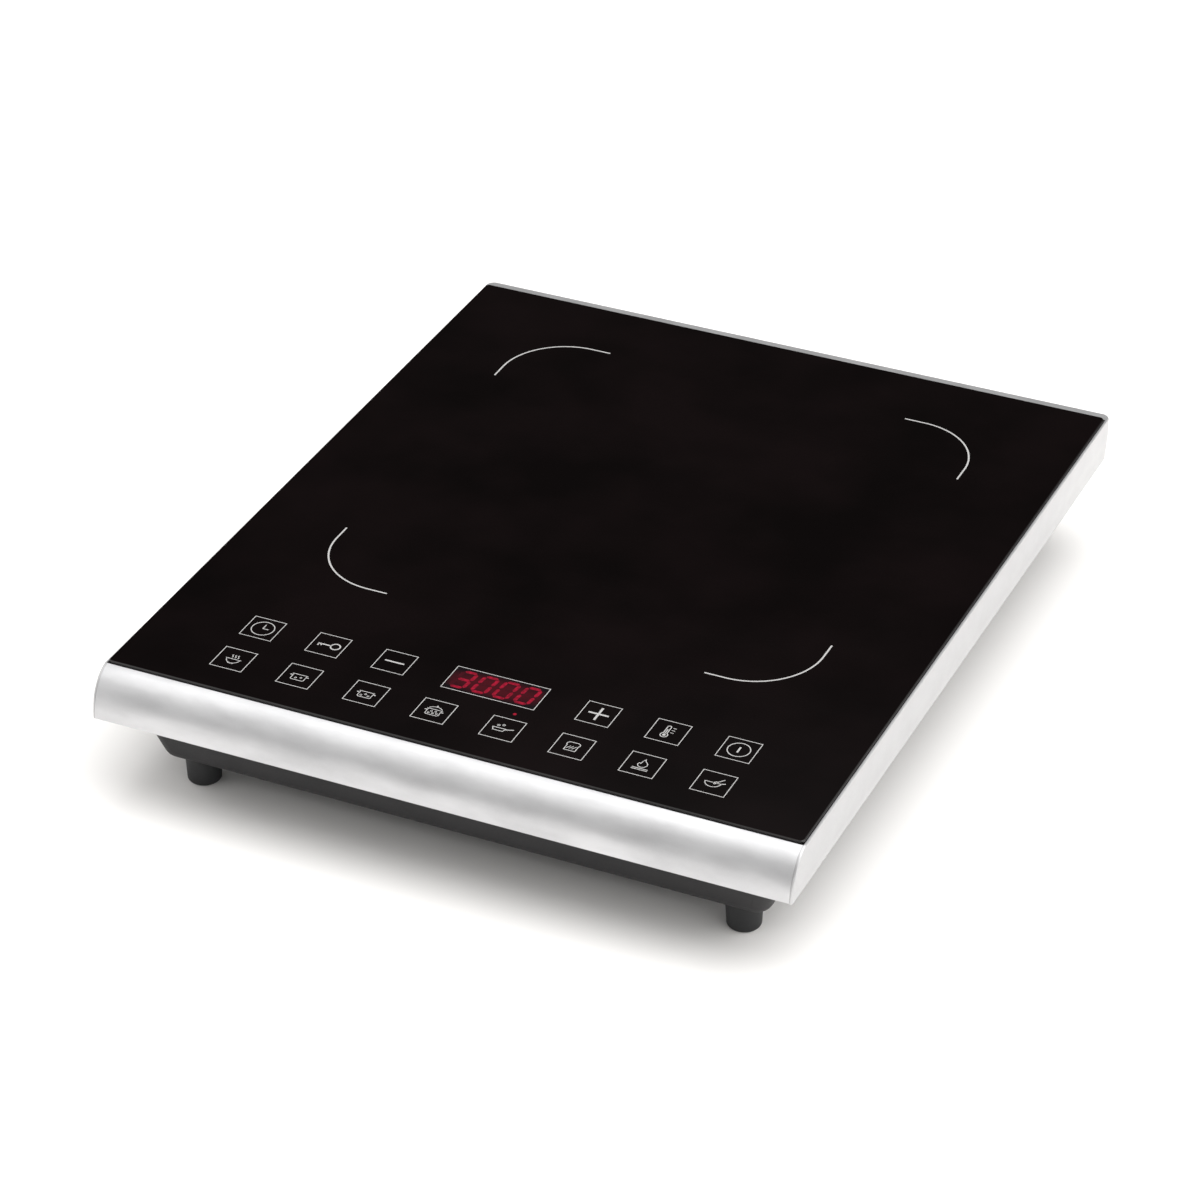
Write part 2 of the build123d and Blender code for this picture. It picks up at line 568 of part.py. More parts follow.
def make_choke_core():
    x, y = CHOKE
    return fillet(ring(x, y, MAIN_TOP + 2.6, MAIN_TOP + 12, 12.5, 7.5).edges(), 1.0)


def make_choke_winding():
    """Two windings of square turns around the ring core."""
    x, y = CHOKE
    z0, z1 = MAIN_TOP + 1.2, MAIN_TOP + 13.4
    turns = []
    for half in (0, 180):
        for i in range(7):
            turn = block(6.0, 14.0, -0.75, 0.75, z0, z1)
            turn -= block(7.45, 12.55, -2, 2, MAIN_TOP + 2.55, MAIN_TOP + 12.05)
            turns.append(Pos(x, y, 0) * Rot(0, 0, half - 54 + 18 * i) * turn)
        post = Rot(0, 0, half) * Pos(13.4, 0, MAIN_TOP + 0.7) * Box(1.2, 1.2, 1.4)
        turns.append(Pos(x, y, 0) * post)
    return joined(turns)


def make_supply_transformer():
    x, y = 30.0, -76.0
    core = block(x - 9, x + 9, y - 8, y + 8, MAIN_TOP + 3, MAIN_TOP + 15)
    core -= block(x - 5.5, x + 5.5, y - 9, y + 9, MAIN_TOP + 5.5, MAIN_TOP + 12.5)
    bobbin = block(x - 5.5, x + 5.5, y - 9.5, y + 9.5, MAIN_TOP + 5.5, MAIN_TOP + 12.5)
    foot = block(x - 8, x + 8, y - 9.5, y + 9.5, MAIN_TOP, MAIN_TOP + 3)
    return core + fillet(bobbin.edges().filter_by(Axis.Y), 1.5) + foot


def make_electrolytic_capacitors():
    cans = []
    for x, y, radius, height in ((6, -84, 5, 14), (-8, -84, 4, 12), (46, -64, 5, 16), (46, -78, 4, 12)):
        can = fillet(rod(x, y, MAIN_TOP, MAIN_TOP + height, radius).edges().group_by(Axis.Z)[-1], 0.8)
        can -= ring(x, y, MAIN_TOP + 2, MAIN_TOP + 2.8, radius + 1, radius - 0.35)
        cans.append(can)
    return joined(cans)


def make_fuse():
    """Glass fuse in two spring clips."""
    y, z = -66.0, MAIN_TOP + 6.0
    body = Pos(106, y, z) * Rot(0, 90, 0) * Cylinder(2.6, 20)
    for x in (98.5, 113.5):
        clip = block(x - 2.2, x + 2.2, y - 3.4, y + 3.4, MAIN_TOP, z + 3.2)
        clip -= block(x - 3, x + 3, y - 2.2, y + 2.2, z + 2.0, z + 4)
        body += clip
    return body


def make_varistor():
    disc = Pos(94, -80, MAIN_TOP + 9.5) * Rot(0, 90, 0) * Cylinder(6.5, 4.0)
    disc = fillet(disc.edges(), 1.2)
    for dy in (-3, 3):
        disc += rod(94, -80 + dy, MAIN_TOP, MAIN_TOP + 5, 0.4)
    return disc


def make_buzzer():
    body = fillet(rod(112, -82, MAIN_TOP, MAIN_TOP + 8.5, 6.0).edges().group_by(Axis.Z)[-1], 0.6)
    return body - rod(112, -82, MAIN_TOP + 7, MAIN_TOP + 10, 1.2)


def make_board_connectors():
    """Coil terminals, mains tabs, and the sockets of the fan, the sensor and the panel."""
    items = [chamfer(block(x - 4.5, x + 4.5, y - 3.8, y + 3.8, MAIN_TOP, 29.5).edges(), 0.5)
             for x, y in TERMINALS]
    for x, y, w, d in (SENSOR_PLUG + (7.0, 5.6), FAN_PLUG + (5.6, 7.0)):
        items.append(block(x - w / 2, x + w / 2, y - d / 2, y + d / 2, MAIN_TOP, MAIN_TOP + 6))
    items.append(block(RIBBON_X - 9, RIBBON_X + 9, RIBBON_Y - 2.8, RIBBON_Y + 2.8, MAIN_TOP, MAIN_TOP + 5))
    for x in (100.0, 108.0):
        items.append(block(x - 3, x + 3, -57.0, -56.2, MAIN_TOP, MAIN_TOP + 7))
    return joined(items)


def make_terminal_block():
    """Three-way screw block on the tray's floor, inside the cord gland."""
    x0, x1, y0, y1, z1 = GLAND_X - 15, GLAND_X + 15, 128.0, 146.0, FLOOR_Z + 13
    body = fillet(block(x0, x1, y0, y1, FLOOR_Z, z1).edges().filter_by(Axis.Z), 1.5)
    for i in (-1, 0, 1):
        x = GLAND_X + 9.5 * i
        body -= rod(x, y1 - 5, FLOOR_Z + 6, z1 + 1, 2.4)
        body -= rod(x, y0 + 5, FLOOR_Z + 6, z1 + 1, 2.4)
        body -= Pos(x, y0, FLOOR_Z + 5) * Rot(90, 0, 0) * Cylinder(2.0, 6)
        body -= Pos(x, y1, FLOOR_Z + 5) * Rot(90, 0, 0) * Cylinder(2.4, 6)
    for i in (-0.5, 0.5):
        body -= block(GLAND_X + 9.5 * i - 0.6, GLAND_X + 9.5 * i + 0.6, y0 - 1, y1 + 1, z1 - 4, z1 + 1)
    return body


def make_mains_leads():
    """Line and neutral leads, from the terminal block along the right side to the board's tabs."""
    z = FLOOR_Z + 5
    leads = []
    for i, start in enumerate((GLAND_X, GLAND_X + 9.5)):
        x = 114.0 + 6 * i
        tab_x = 100.0 + 8 * i
        points = [(start, 129.0, z), (start, 116.0, z), (x, 96.0, z), (x, -22.0, z),
                  (tab_x, -36.0, z + 6), (tab_x, -56.0, z + 6.6)]
        leads.append(wire(points, 1.5, 5.0))
    return joined(leads)


# ---- fan ----
def make_fan_frame():
    half = FAN_SIZE / 2
    frame = slab(FAN_X - half, FAN_X + half, FAN_Y - half, FAN_Y + half, FAN_Z, FAN_TOP_Z, 4.0)
    middle = slab(FAN_X - half - 1, FAN_X + half + 1, FAN_Y - half - 1, FAN_Y + half + 1,
                  FAN_Z + 3, FAN_TOP_Z - 3, 4.0)
    frame -= middle - rod(FAN_X, FAN_Y, FAN_Z, FAN_TOP_Z, 39.6)
    frame -= rod(FAN_X, FAN_Y, FAN_Z - 1, FAN_TOP_Z + 1, 38.2)
    frame += rod(FAN_X, FAN_Y, FAN_TOP_Z - 3, FAN_TOP_Z, 17.0)
    for i in range(4):
        strut = block(15, 39, -1.8, 1.8, FAN_TOP_Z - 2, FAN_TOP_Z)
        frame += Pos(FAN_X, FAN_Y, 0) * Rot(0, 0, 20 + 90 * i) * strut
    frame += rod(FAN_X, FAN_Y, FAN_TOP_Z - 13, FAN_TOP_Z - 2, 4.4)
    frame -= rod(FAN_X, FAN_Y, FAN_TOP_Z - 14, FAN_TOP_Z - 1, 3.0)
    for x, y in FAN_POSTS:
        frame += ring(x, y, FAN_Z, FAN_TOP_Z, 3.7, 2.15)
        frame -= rod(x, y, FAN_Z - 1, FAN_TOP_Z + 1, 2.15)
    return frame


def make_fan_bearing():
    return ring(FAN_X, FAN_Y, FAN_TOP_Z - 13, FAN_TOP_Z - 1, 3.0, 1.5 + RUNNING_GAP)


def make_fan_stator():
    """Four wound poles on the bearing tube."""
    z0, z1 = FAN_TOP_Z - 12, FAN_TOP_Z - 4
    core = Circle(7.0)
    shoe = (Circle(13.4) - Circle(11.2)) & Pos(12.5, 0) * Rectangle(7, 13)
    for i in range(4):
        core += Rot(0, 0, 90 * i) * (Pos(9.0, 0) * Rectangle(6, 5) + shoe)
    return Pos(FAN_X, FAN_Y, z0) * extrude(core - Circle(4.4), z1 - z0)


def make_fan_rotor():
    """Hub cup with seven raked blades; it turns under the stator's base."""
    hub_r, tip_r = 16.5, 37.0
    z0, z1 = FAN_Z + 1.0, FAN_TOP_Z - 4.4
    hub = rod(FAN_X, FAN_Y, z0, z1, hub_r)
    hub = fillet(hub.edges().group_by(Axis.Z)[0], 2.0)
    hub -= rod(FAN_X, FAN_Y, z0 + 2.2, z1 + 1, hub_r - 1.6)
    sweep_zone = ring(FAN_X, FAN_Y, z0 + 0.4, z1 + 0.8, tip_r, hub_r - 0.8)
    blade = Pos((hub_r + tip_r) / 2, 0, (z0 + z1) / 2) * Rot(36, 0, 0) * Box(tip_r - hub_r + 6, 24, 1.5)
    for i in range(7):
        placed = Pos(FAN_X, FAN_Y, 0) * Rot(0, 0, i * 360 / 7) * blade
        hub += placed & sweep_zone
    return hub - rod(FAN_X, FAN_Y, z0 - 1, z0 + 3, 1.5)


def make_fan_shaft():
    z0 = FAN_Z + 1.0
    return chamfer(rod(FAN_X, FAN_Y, z0, FAN_TOP_Z - 2.0, 1.5).edges(), 0.2)


def make_fan_screws():
    return joined(screw(x, y, FAN_TOP_Z, TRAY_BOTTOM_Z + 2, 1.55, 3.5, 2.2) for x, y in FAN_POSTS)


def make_fan_lead():
    leads = []
    for step in (-0.9, 0.9):
        x, y, plug_y = FAN_X + 46.6 - step, FAN_Y + 22 + step, FAN_PLUG[1] + step
        points = [(FAN_X + FAN_SIZE / 2 + 0.1, y, FAN_TOP_Z - 1.5), (x, y, FAN_TOP_Z - 1.5), (x, y, 25.2),
                  (x, plug_y, 25.2), (FAN_PLUG[0] - 2.9, plug_y, 25.2)]
        leads.append(wire(points, 0.7, 2.0))
    return joined(leads)


def make_air_guide():
    """Wall that turns the fan's air to the right, along the heatsink's fins."""
    z0, z1 = FLOOR_Z, CONTROL_Z - CARRIER_T - 0.4
    return block(-127, -37.7, -65.3, -63.7, z0, z1) + block(-39.3, -37.7, -80, -63.7, z0, z1)


# ---- control panel electronics ----
def control_holes(part, radius):
    for x in POST_XS:
        part -= rod(x, POST_Y, CONTROL_Z - 5, CONTROL_TOP + 1, radius)
    for side in (-1, 1):
        part -= rod(side * REAR_POST_X, REAR_POST_Y, CONTROL_Z - 5, CONTROL_TOP + 1, radius)
    return part


def make_control_board():
    x0, x1, y0, y1 = CONTROL_BOX
    return control_holes(slab(x0, x1, y0, y1, CONTROL_Z, CONTROL_TOP, 2.0), 1.5)


def make_control_carrier():
    """Open frame under the control board, screwed to the casing in front and the tray behind."""
    x0, x1, y0, y1 = CONTROL_BOX
    z0, z1 = CONTROL_Z - CARRIER_T, CONTROL_Z
    carrier = slab(x0, x1, y0, y1, z0, z1, 2.0)
    for a, b in ((x0 + 7, -46), (-34, 34), (46, x1 - 7)):
        carrier -= slab(a, b, y0 + 9, y1 - 5, z0 - 1, z1 + 1, 2.0)
    for side in (-1, 1):
        reach = sorted((side * 118, side * 130))
        carrier += slab(reach[0], reach[1], REAR_POST_Y - 5, REAR_POST_Y + 4, z0, z1, 2.0)
    return control_holes(carrier, 1.5)


def make_control_screws():
    z = CONTROL_Z - CARRIER_T
    items = [screw(x, POST_Y, z, LEDGE_Z - 0.6, 1.25, 2.6, 1.8) for x in POST_XS]
    items += [screw(side * REAR_POST_X, REAR_POST_Y, CONTROL_Z, 35.0, 1.25, 2.6, 1.8) for side in (-1, 1)]
    return joined(items)


def make_touch_springs():
    """One upright spring under each touch key, from the board to the glass."""
    first = coil_spring(0, 0, CONTROL_TOP + 0.02, GLASS_Z - 0.05, 4.0, 0.4, 3.0)
    return joined(Pos(x, y, 0) * first for x, y in KEYS)


def make_led_display():
    y = FRONT_Y + KEY_ROW_2
    body = block(-DISPLAY_W / 2, DISPLAY_W / 2, y - DISPLAY_H / 2, y + DISPLAY_H / 2,
                 CONTROL_TOP, GLASS_Z - 0.4)
    return chamfer(body.edges().group_by(Axis.Z)[-1], 0.5)


def make_indicator_leds():
    lamps = []
    for x in KEY_XS:
        lamp = rod(x, FRONT_Y + LAMP_ROW, CONTROL_TOP, GLASS_Z - 0.6, 1.5)
        lamp = fillet(lamp.edges().group_by(Axis.Z)[-1], 1.2)
        lamps.append(lamp + rod(x, FRONT_Y + LAMP_ROW, CONTROL_TOP, CONTROL_TOP + 1, 1.8))
    return joined(lamps)


def make_control_chip():
    chip = block(-9, 9, -140, -128, CONTROL_Z - 2.2, CONTROL_Z)
    return chamfer(chip.edges().group_by(Axis.Z)[0], 0.4)


def make_ribbon_cable():
    """Flat cable from the main board's socket up to a plug under the control board."""
    z0, z1 = MAIN_TOP + 5, CONTROL_Z
    plug = block(RIBBON_X - 8, RIBBON_X + 8, RIBBON_Y - 2.4, RIBBON_Y + 2.4, z1 - 5, z1)
    bow = ThreePointArc((RIBBON_Y, z0), (RIBBON_Y - 3.0, (z0 + z1 - 5) / 2), (RIBBON_Y, z1 - 5))
    back = ThreePointArc((RIBBON_Y + 1, z1 - 5), (RIBBON_Y - 2.0, (z0 + z1 - 5) / 2), (RIBBON_Y + 1, z0))
    ends = [Line((RIBBON_Y, z1 - 5), (RIBBON_Y + 1, z1 - 5)), Line((RIBBON_Y + 1, z0), (RIBBON_Y, z0))]
    face = Plane.YZ * make_face([bow.edge(), back.edge()] + [e.edge() for e in ends])
    return plug + Pos(RIBBON_X, 0, 0) * extrude(face, 7.0, both=True)


# ---- fasteners of the case ----
def make_base_screws():
    seat = FLOOR_Z + 20.5
    return joined(screw(x, y, seat, 49.0, 1.55, 3.7, 2.4) for x, y in CASE_SCREWS)


def make_foot_screws():
    return joined(screw(x, y, 5.0, FOOT_BOSS_Z - 0.6, 1.75, 3.6, 2.2) for x, y in FEET.values())


def build():
    outer = tray_outer()
    parts = {
        "glass_top": make_glass_top(),
        "glass_adhesive": make_glass_adhesive(),
        "casing_frame": make_casing_frame(),
        "front_bezel": make_front_bezel(),
        "base_tray": make_base_tray(outer),
        "base_screws": make_base_screws(),
        "foot_screws": make_foot_screws(),
        "cord_gland": make_cord_gland(),
        "gland_locknut": make_gland_locknut(),
        "terminal_block": make_terminal_block(),
        "mains_leads": make_mains_leads(),
        "coil_former": make_coil_former(),
        "induction_coil": make_induction_coil(),
        "ferrite_bars": make_ferrite_bars(),
        "mica_sheet": make_mica_sheet(),
        "coil_screws": make_coil_screws(),
        "coil_leads": make_coil_leads(),
        "sensor_cap": make_sensor_cap(),
        "thermistor": make_thermistor(),
        "sensor_spring": make_sensor_spring(),
        "sensor_lead": make_sensor_lead(),
        "main_board": make_main_board(),
        "board_screws": make_board_screws(),
        "heatsink": make_heatsink(),
        "igbt": make_igbt(),
        "bridge_rectifier": make_bridge_rectifier(),
        "heatsink_screws": make_heatsink_screws(),
        "resonant_capacitor": make_resonant_capacitor(),
        "filter_capacitor": make_filter_capacitor(),
        "line_capacitor": make_line_capacitor(),
        "choke_core": make_choke_core(),
        "choke_winding": make_choke_winding(),
        "supply_transformer": make_supply_transformer(),
        "electrolytic_capacitors": make_electrolytic_capacitors(),
        "fuse": make_fuse(),
        "varistor": make_varistor(),
        "buzzer": make_buzzer(),
        "board_connectors": make_board_connectors(),
        "fan_frame": make_fan_frame(),
        "fan_bearing": make_fan_bearing(),
        "fan_stator": make_fan_stator(),
        "fan_rotor": make_fan_rotor(),
        "fan_shaft": make_fan_shaft(),
        "fan_screws": make_fan_screws(),
        "fan_lead": make_fan_lead(),
        "air_guide": make_air_guide(),
        "control_board": make_control_board(),
        "control_carrier": make_control_carrier(),
        "control_screws": make_control_screws(),
        "touch_springs": make_touch_springs(),
        "led_display": make_led_display(),
        "indicator_leds": make_indicator_leds(),
        "control_chip": make_control_chip(),
        "ribbon_cable": make_ribbon_cable(),
    }
    for name, (x, y) in FEET.items():
        parts[name] = make_foot(x, y, outer)
    return parts


os.makedirs("parts", exist_ok=True)
for node, shape in build().items():
    export_step(Pos(0, -MIDDLE_Y, 0) * shape, f"parts/{node}.step")
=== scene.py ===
import json
import math

import bmesh
import bpy
from mathutils import Matrix, Vector


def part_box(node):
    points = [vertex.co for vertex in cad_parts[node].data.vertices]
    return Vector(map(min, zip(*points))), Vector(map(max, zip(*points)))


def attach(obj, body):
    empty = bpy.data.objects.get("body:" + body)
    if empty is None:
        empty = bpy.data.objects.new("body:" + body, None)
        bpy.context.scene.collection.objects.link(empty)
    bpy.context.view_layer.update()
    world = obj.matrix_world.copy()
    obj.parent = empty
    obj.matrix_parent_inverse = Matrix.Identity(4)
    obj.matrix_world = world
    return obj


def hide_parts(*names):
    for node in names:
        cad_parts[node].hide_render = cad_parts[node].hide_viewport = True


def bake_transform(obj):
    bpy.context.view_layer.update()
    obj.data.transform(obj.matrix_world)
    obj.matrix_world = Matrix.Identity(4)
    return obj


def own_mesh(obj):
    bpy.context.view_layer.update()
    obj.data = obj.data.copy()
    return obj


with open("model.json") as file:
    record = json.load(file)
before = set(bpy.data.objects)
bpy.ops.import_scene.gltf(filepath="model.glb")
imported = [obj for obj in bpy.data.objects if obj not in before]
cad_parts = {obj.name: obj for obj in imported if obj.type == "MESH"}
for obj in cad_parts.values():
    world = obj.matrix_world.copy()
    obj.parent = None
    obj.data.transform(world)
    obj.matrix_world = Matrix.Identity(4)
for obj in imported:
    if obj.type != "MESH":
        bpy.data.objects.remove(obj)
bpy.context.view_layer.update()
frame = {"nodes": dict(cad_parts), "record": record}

# Portable induction hob. Metres, x to the right, y to the back, z up from the worktop.
# Small drawings and sizes are in millimetres, and MM turns them into metres.
MM = 0.001

# ---- places that come from the frame ----
GLASS_LOW, GLASS_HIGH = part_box("glass_top")
FRONT_Y = GLASS_LOW.y               # front edge of the glass
TOP_Z = GLASS_HIGH.z
COIL_LOW, COIL_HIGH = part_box("induction_coil")
COIL_Y = (COIL_LOW.y + COIL_HIGH.y) / 2
SPRING_LOW, SPRING_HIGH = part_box("sensor_spring")
LEAD_LOW, LEAD_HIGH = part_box("sensor_lead")

# ---- control panel, in millimetres ----
KEY_SIZE = 14.2
KEY_PITCH = 30.0
PRESET_ROW = 21.3                   # key rows, back from the glass's front edge
CONTROL_ROW = 45.9
LAMP_ROW = 32.3
DISPLAY_W, DISPLAY_D = 40.8, 16.0
LINE = 0.34                         # width of a printed line
ZONE_LINE = 0.75
ZONE_HALF = 110.2                   # half the side of the square that marks the cooking zone
ZONE_ARC = 30.0
ZONE_TAIL = 9.0
PRINT_T = 0.03                      # thickness of the print


# ---- material helpers ----
def new_material(name, colour, roughness, metallic=0.0, **sockets):
    """Principled material; an underscore in a socket's name stands for a space."""
    material = bpy.data.materials.new(name)
    material.use_nodes = True
    inputs = shader(material).inputs
    inputs["Base Color"].default_value = (*colour, 1.0)
    inputs["Roughness"].default_value = roughness
    inputs["Metallic"].default_value = metallic
    for socket, value in sockets.items():
        inputs[socket.replace("_", " ")].default_value = value
    return material


def shader(material):
    return material.node_tree.nodes["Principled BSDF"]


def add(material, kind, inputs=None, **settings):
    """New node; an input is a value or another node's output."""
    tree = material.node_tree
    made = tree.nodes.new(kind)
    for key, value in settings.items():
        setattr(made, key, value)
    for key, value in (inputs or {}).items():
        if isinstance(value, bpy.types.NodeSocket):
            tree.links.new(value, made.inputs[key])
        else:
            made.inputs[key].default_value = value
    return made


def coordinates(material, stretch=(1, 1, 1), centre=(0, 0, 0)):
    """Object coordinates, with a stretch below 1 drawing the pattern out along that axis."""
    place = add(material, "ShaderNodeTexCoord").outputs["Object"]
    moved = add(material, "ShaderNodeVectorMath", {0: place, 1: centre}, operation="SUBTRACT")
    scaled = add(material, "ShaderNodeVectorMath", {0: moved.outputs[0], 1: stretch},
                 operation="MULTIPLY")
    return scaled.outputs[0]


def grain(material, size, stretch=(1, 1, 1), detail=3.0):
    """Noise whose grains are about size millimetres."""
    inputs = {"Vector": coordinates(material, stretch), "Scale": 1 / (size * MM), "Detail": detail}
    return add(material, "ShaderNodeTexNoise", inputs).outputs["Fac"]


def cells(material, size):
    """Distance in a pattern of cells about size millimetres across."""
    inputs = {"Vector": coordinates(material), "Scale": 1 / (size * MM)}
    return add(material, "ShaderNodeTexVoronoi", inputs, feature="F1").outputs["Distance"]


def remap(material, value, start, stop, low=0.0, high=1.0):
    inputs = {"Value": value, "From Min": start, "From Max": stop, "To Min": low, "To Max": high}
    return add(material, "ShaderNodeMapRange", inputs).outputs["Result"]


def tint(material, factor, first, second, start=0.35, stop=0.65):
    """Base colour between two colours. A second tint goes over the first."""
    tree, target = material.node_tree, shader(material).inputs["Base Color"]
    mixer = add(material, "ShaderNodeMix", data_type="RGBA")
    tree.links.new(remap(material, factor, start, stop), mixer.inputs["Factor"])
    if target.is_linked:
        tree.links.new(target.links[0].from_socket, mixer.inputs[6])
    else:
        mixer.inputs[6].default_value = (*first, 1.0)
    mixer.inputs[7].default_value = (*second, 1.0)
    tree.links.new(mixer.outputs[2], target)


def gloss(material, factor, low, high, start=0.35, stop=0.65):
    """Roughness between two values."""
    material.node_tree.links.new(remap(material, factor, start, stop, low, high),
                                 shader(material).inputs["Roughness"])


def relief(material, height, depth):
    """Bump of this depth in millimetres. A second relief adds to the first."""
    tree, target = material.node_tree, shader(material).inputs["Normal"]
    bump = add(material, "ShaderNodeBump", {"Height": height, "Distance": depth * MM})
    if target.is_linked:
        tree.links.new(target.links[0].from_socket, bump.inputs["Normal"])
    tree.links.new(bump.outputs["Normal"], target)


# ---- materials of the outside ----
def ceramic_glass():
    """Black glass-ceramic: a hard gloss, with the faintest ripple and wipe marks."""
    material = new_material("ceramic_glass", (0.003, 0.002, 0.002), 0.05, IOR=1.5)
    tint(material, grain(material, 60.0), (0.0020, 0.0013, 0.0013), (0.0040, 0.0024, 0.0025))
    gloss(material, grain(material, 35.0, (0.5, 1.6, 1)), 0.035, 0.075)
    relief(material, grain(material, 9.0), 0.0035)
    return material


def silver_casing():
    """Silver lacquer on moulded plastic: fine metal flake, barely uneven."""
    material = new_material("silver_casing", (0.47, 0.47, 0.478), 0.36, 0.6, Coat_Weight=0.15,
                            Coat_Roughness=0.25)
    tint(material, grain(material, 0.18, detail=1.0), (0.445, 0.445, 0.453), (0.495, 0.495, 0.50))
    gloss(material, grain(material, 14.0), 0.30, 0.38)
    relief(material, grain(material, 0.22, detail=1.0), 0.004)
    return material


def satin_aluminium():
    """Satin silver of the nose: a fine lengthwise brush under a clear lacquer."""
    material = new_material("satin_aluminium", (0.55, 0.55, 0.56), 0.38, 0.70, Coat_Weight=0.1,
                            Coat_Roughness=0.3)
    brush = grain(material, 0.35, (0.03, 1, 1), 4.0)
    tint(material, grain(material, 9.0, (0.35, 1, 1), 5.0), (0.50, 0.50, 0.51), (0.59, 0.59, 0.60))
    tint(material, grain(material, 0.16, detail=1.0), (0, 0, 0), (0.62, 0.62, 0.63), 0.58, 0.78)
    gloss(material, grain(material, 16.0, (0.4, 1, 1)), 0.32, 0.41)
    relief(material, brush, 0.0012)
    return material


def moulded(name, dark, light, rough, grain_size=0.45, depth=0.018, **sockets):
    """Moulded plastic with a fine spark texture and soft cloudiness."""
    material = new_material(name, dark, rough, **sockets)
    tint(material, grain(material, 18.0, detail=5.0), dark, light)
    texture = cells(material, grain_size)
    gloss(material, texture, rough - 0.06, rough + 0.06, 0.1, 0.8)
    relief(material, texture, depth)
    relief(material, grain(material, 40.0), 0.05)
    return material


def charcoal_plastic():
    return moulded("charcoal_plastic", (0.0125, 0.012, 0.013), (0.0175, 0.0165, 0.018), 0.50,
                   Specular_IOR_Level=0.38)


def foot_rubber():
    """Rubber: darker and duller than the tray, with bloom and fine pores."""
    material = moulded("foot_rubber", (0.007, 0.0075, 0.0085), (0.013, 0.0135, 0.0145), 0.58,
                       0.35, 0.012)
    tint(material, grain(material, 2.5, detail=6.0), (0, 0, 0), (0.022, 0.023, 0.024), 0.60, 0.85)
    return material


def silicone():
    return moulded("silicone", (0.012, 0.012, 0.013), (0.020, 0.020, 0.021), 0.45, 1.4, 0.05)


def screw_steel():
    """Zinc-plated steel, with turning marks and a faint yellow cast."""
    material = new_material("screw_steel", (0.62, 0.61, 0.58), 0.32, 1.0)
    tint(material, grain(material, 1.6, detail=5.0), (0.55, 0.54, 0.52), (0.70, 0.69, 0.65))
    gloss(material, grain(material, 0.5), 0.24, 0.42)
    relief(material, grain(material, 0.25, (0.3, 0.3, 2.0)), 0.006)
    return material


# ---- materials of the inside ----
def metal(name, dark, light, rough, brush=(1, 1, 1), size=0.6, depth=0.005):
    """Bare metal with drawn or cast marks."""
    material = new_material(name, dark, rough, 1.0)
    marks = grain(material, size, brush, 5.0)
    tint(material, marks, dark, light)
    gloss(material, grain(material, 3.0), rough - 0.08, rough + 0.08)
    relief(material, marks, depth)
    return material


def copper_litz():
    """Bundle of fine enamelled strands, wound round the coil's centre."""
    material = new_material("copper_litz", (0.62, 0.27, 0.13), 0.34, 0.9)
    inputs = {"Vector": coordinates(material, centre=(0, COIL_Y, 0)), "Scale": 900.0, "Distortion": 1.2,
              "Detail": 2.0, "Detail Scale": 4.0}
    wave = add(material, "ShaderNodeTexWave", inputs, wave_type="RINGS", rings_direction="Z")
    strands = wave.outputs["Fac"]
    tint(material, strands, (0.36, 0.13, 0.055), (0.74, 0.34, 0.17), 0.2, 0.9)
    gloss(material, strands, 0.48, 0.28, 0.2, 0.9)
    relief(material, strands, 0.08)
    return material


def ferrite():
    material = moulded("ferrite", (0.022, 0.021, 0.020), (0.040, 0.038, 0.036), 0.50, 0.8, 0.03)
    tint(material, grain(material, 0.5), (0, 0, 0), (0.075, 0.072, 0.070), 0.66, 0.80)
    return material


def mica():
    """Pressed mica: cream flakes with a pearly sheen."""
    material = new_material("mica", (0.62, 0.56, 0.44), 0.36, Sheen_Weight=0.2, Coat_Weight=0.3)
    flakes = add(material, "ShaderNodeTexVoronoi", {"Vector": coordinates(material), "Scale": 260.0,
                                                    "Randomness": 1.0})
    tint(material, flakes.outputs["Color"], (0.50, 0.44, 0.33), (0.72, 0.67, 0.55), 0.1, 0.9)
    gloss(material, flakes.outputs["Color"], 0.25, 0.5, 0.1, 0.9)
    relief(material, flakes.outputs["Distance"], 0.02)
    return material


def sensor_ceramic():
    material = new_material("sensor_ceramic", (0.80, 0.79, 0.75), 0.42, Subsurface_Weight=0.1)
    tint(material, grain(material, 1.2, detail=6.0), (0.72, 0.71, 0.67), (0.84, 0.83, 0.80))
    relief(material, grain(material, 0.3), 0.012)
    return material


def board_laminate():
    """Green solder mask over copper tracks, with tinned pads."""
    material = new_material("board_laminate", (0.010, 0.105, 0.045), 0.32, Coat_Weight=0.4,
                            Coat_Roughness=0.15)
    inputs = {"Vector": coordinates(material), "Scale": 130.0, "Mortar Size": 0.09, "Brick Width": 1.9,
              "Row Height": 0.35, "Color1": (1, 1, 1, 1), "Color2": (1, 1, 1, 1), "Mortar": (0, 0, 0, 1)}
    tracks = add(material, "ShaderNodeTexBrick", inputs).outputs["Fac"]
    tint(material, tracks, (0.010, 0.105, 0.045), (0.020, 0.20, 0.075), 0.2, 0.8)
    pads = cells(material, 3.4)
    tint(material, pads, (0, 0, 0), (0.62, 0.62, 0.60), 0.13, 0.11)
    relief(material, tracks, 0.035)
    relief(material, remap(material, pads, 0.13, 0.11), 0.03)
    return material


def lead_insulation():
    """Silicone-rubber insulation, matte, with drawing lines."""
    material = new_material("lead_insulation", (0.42, 0.035, 0.03), 0.42)
    tint(material, grain(material, 2.0, (1, 0.2, 1)), (0.36, 0.028, 0.024), (0.48, 0.045, 0.036))
    relief(material, grain(material, 0.3, (1, 0.1, 1)), 0.01)
    return material


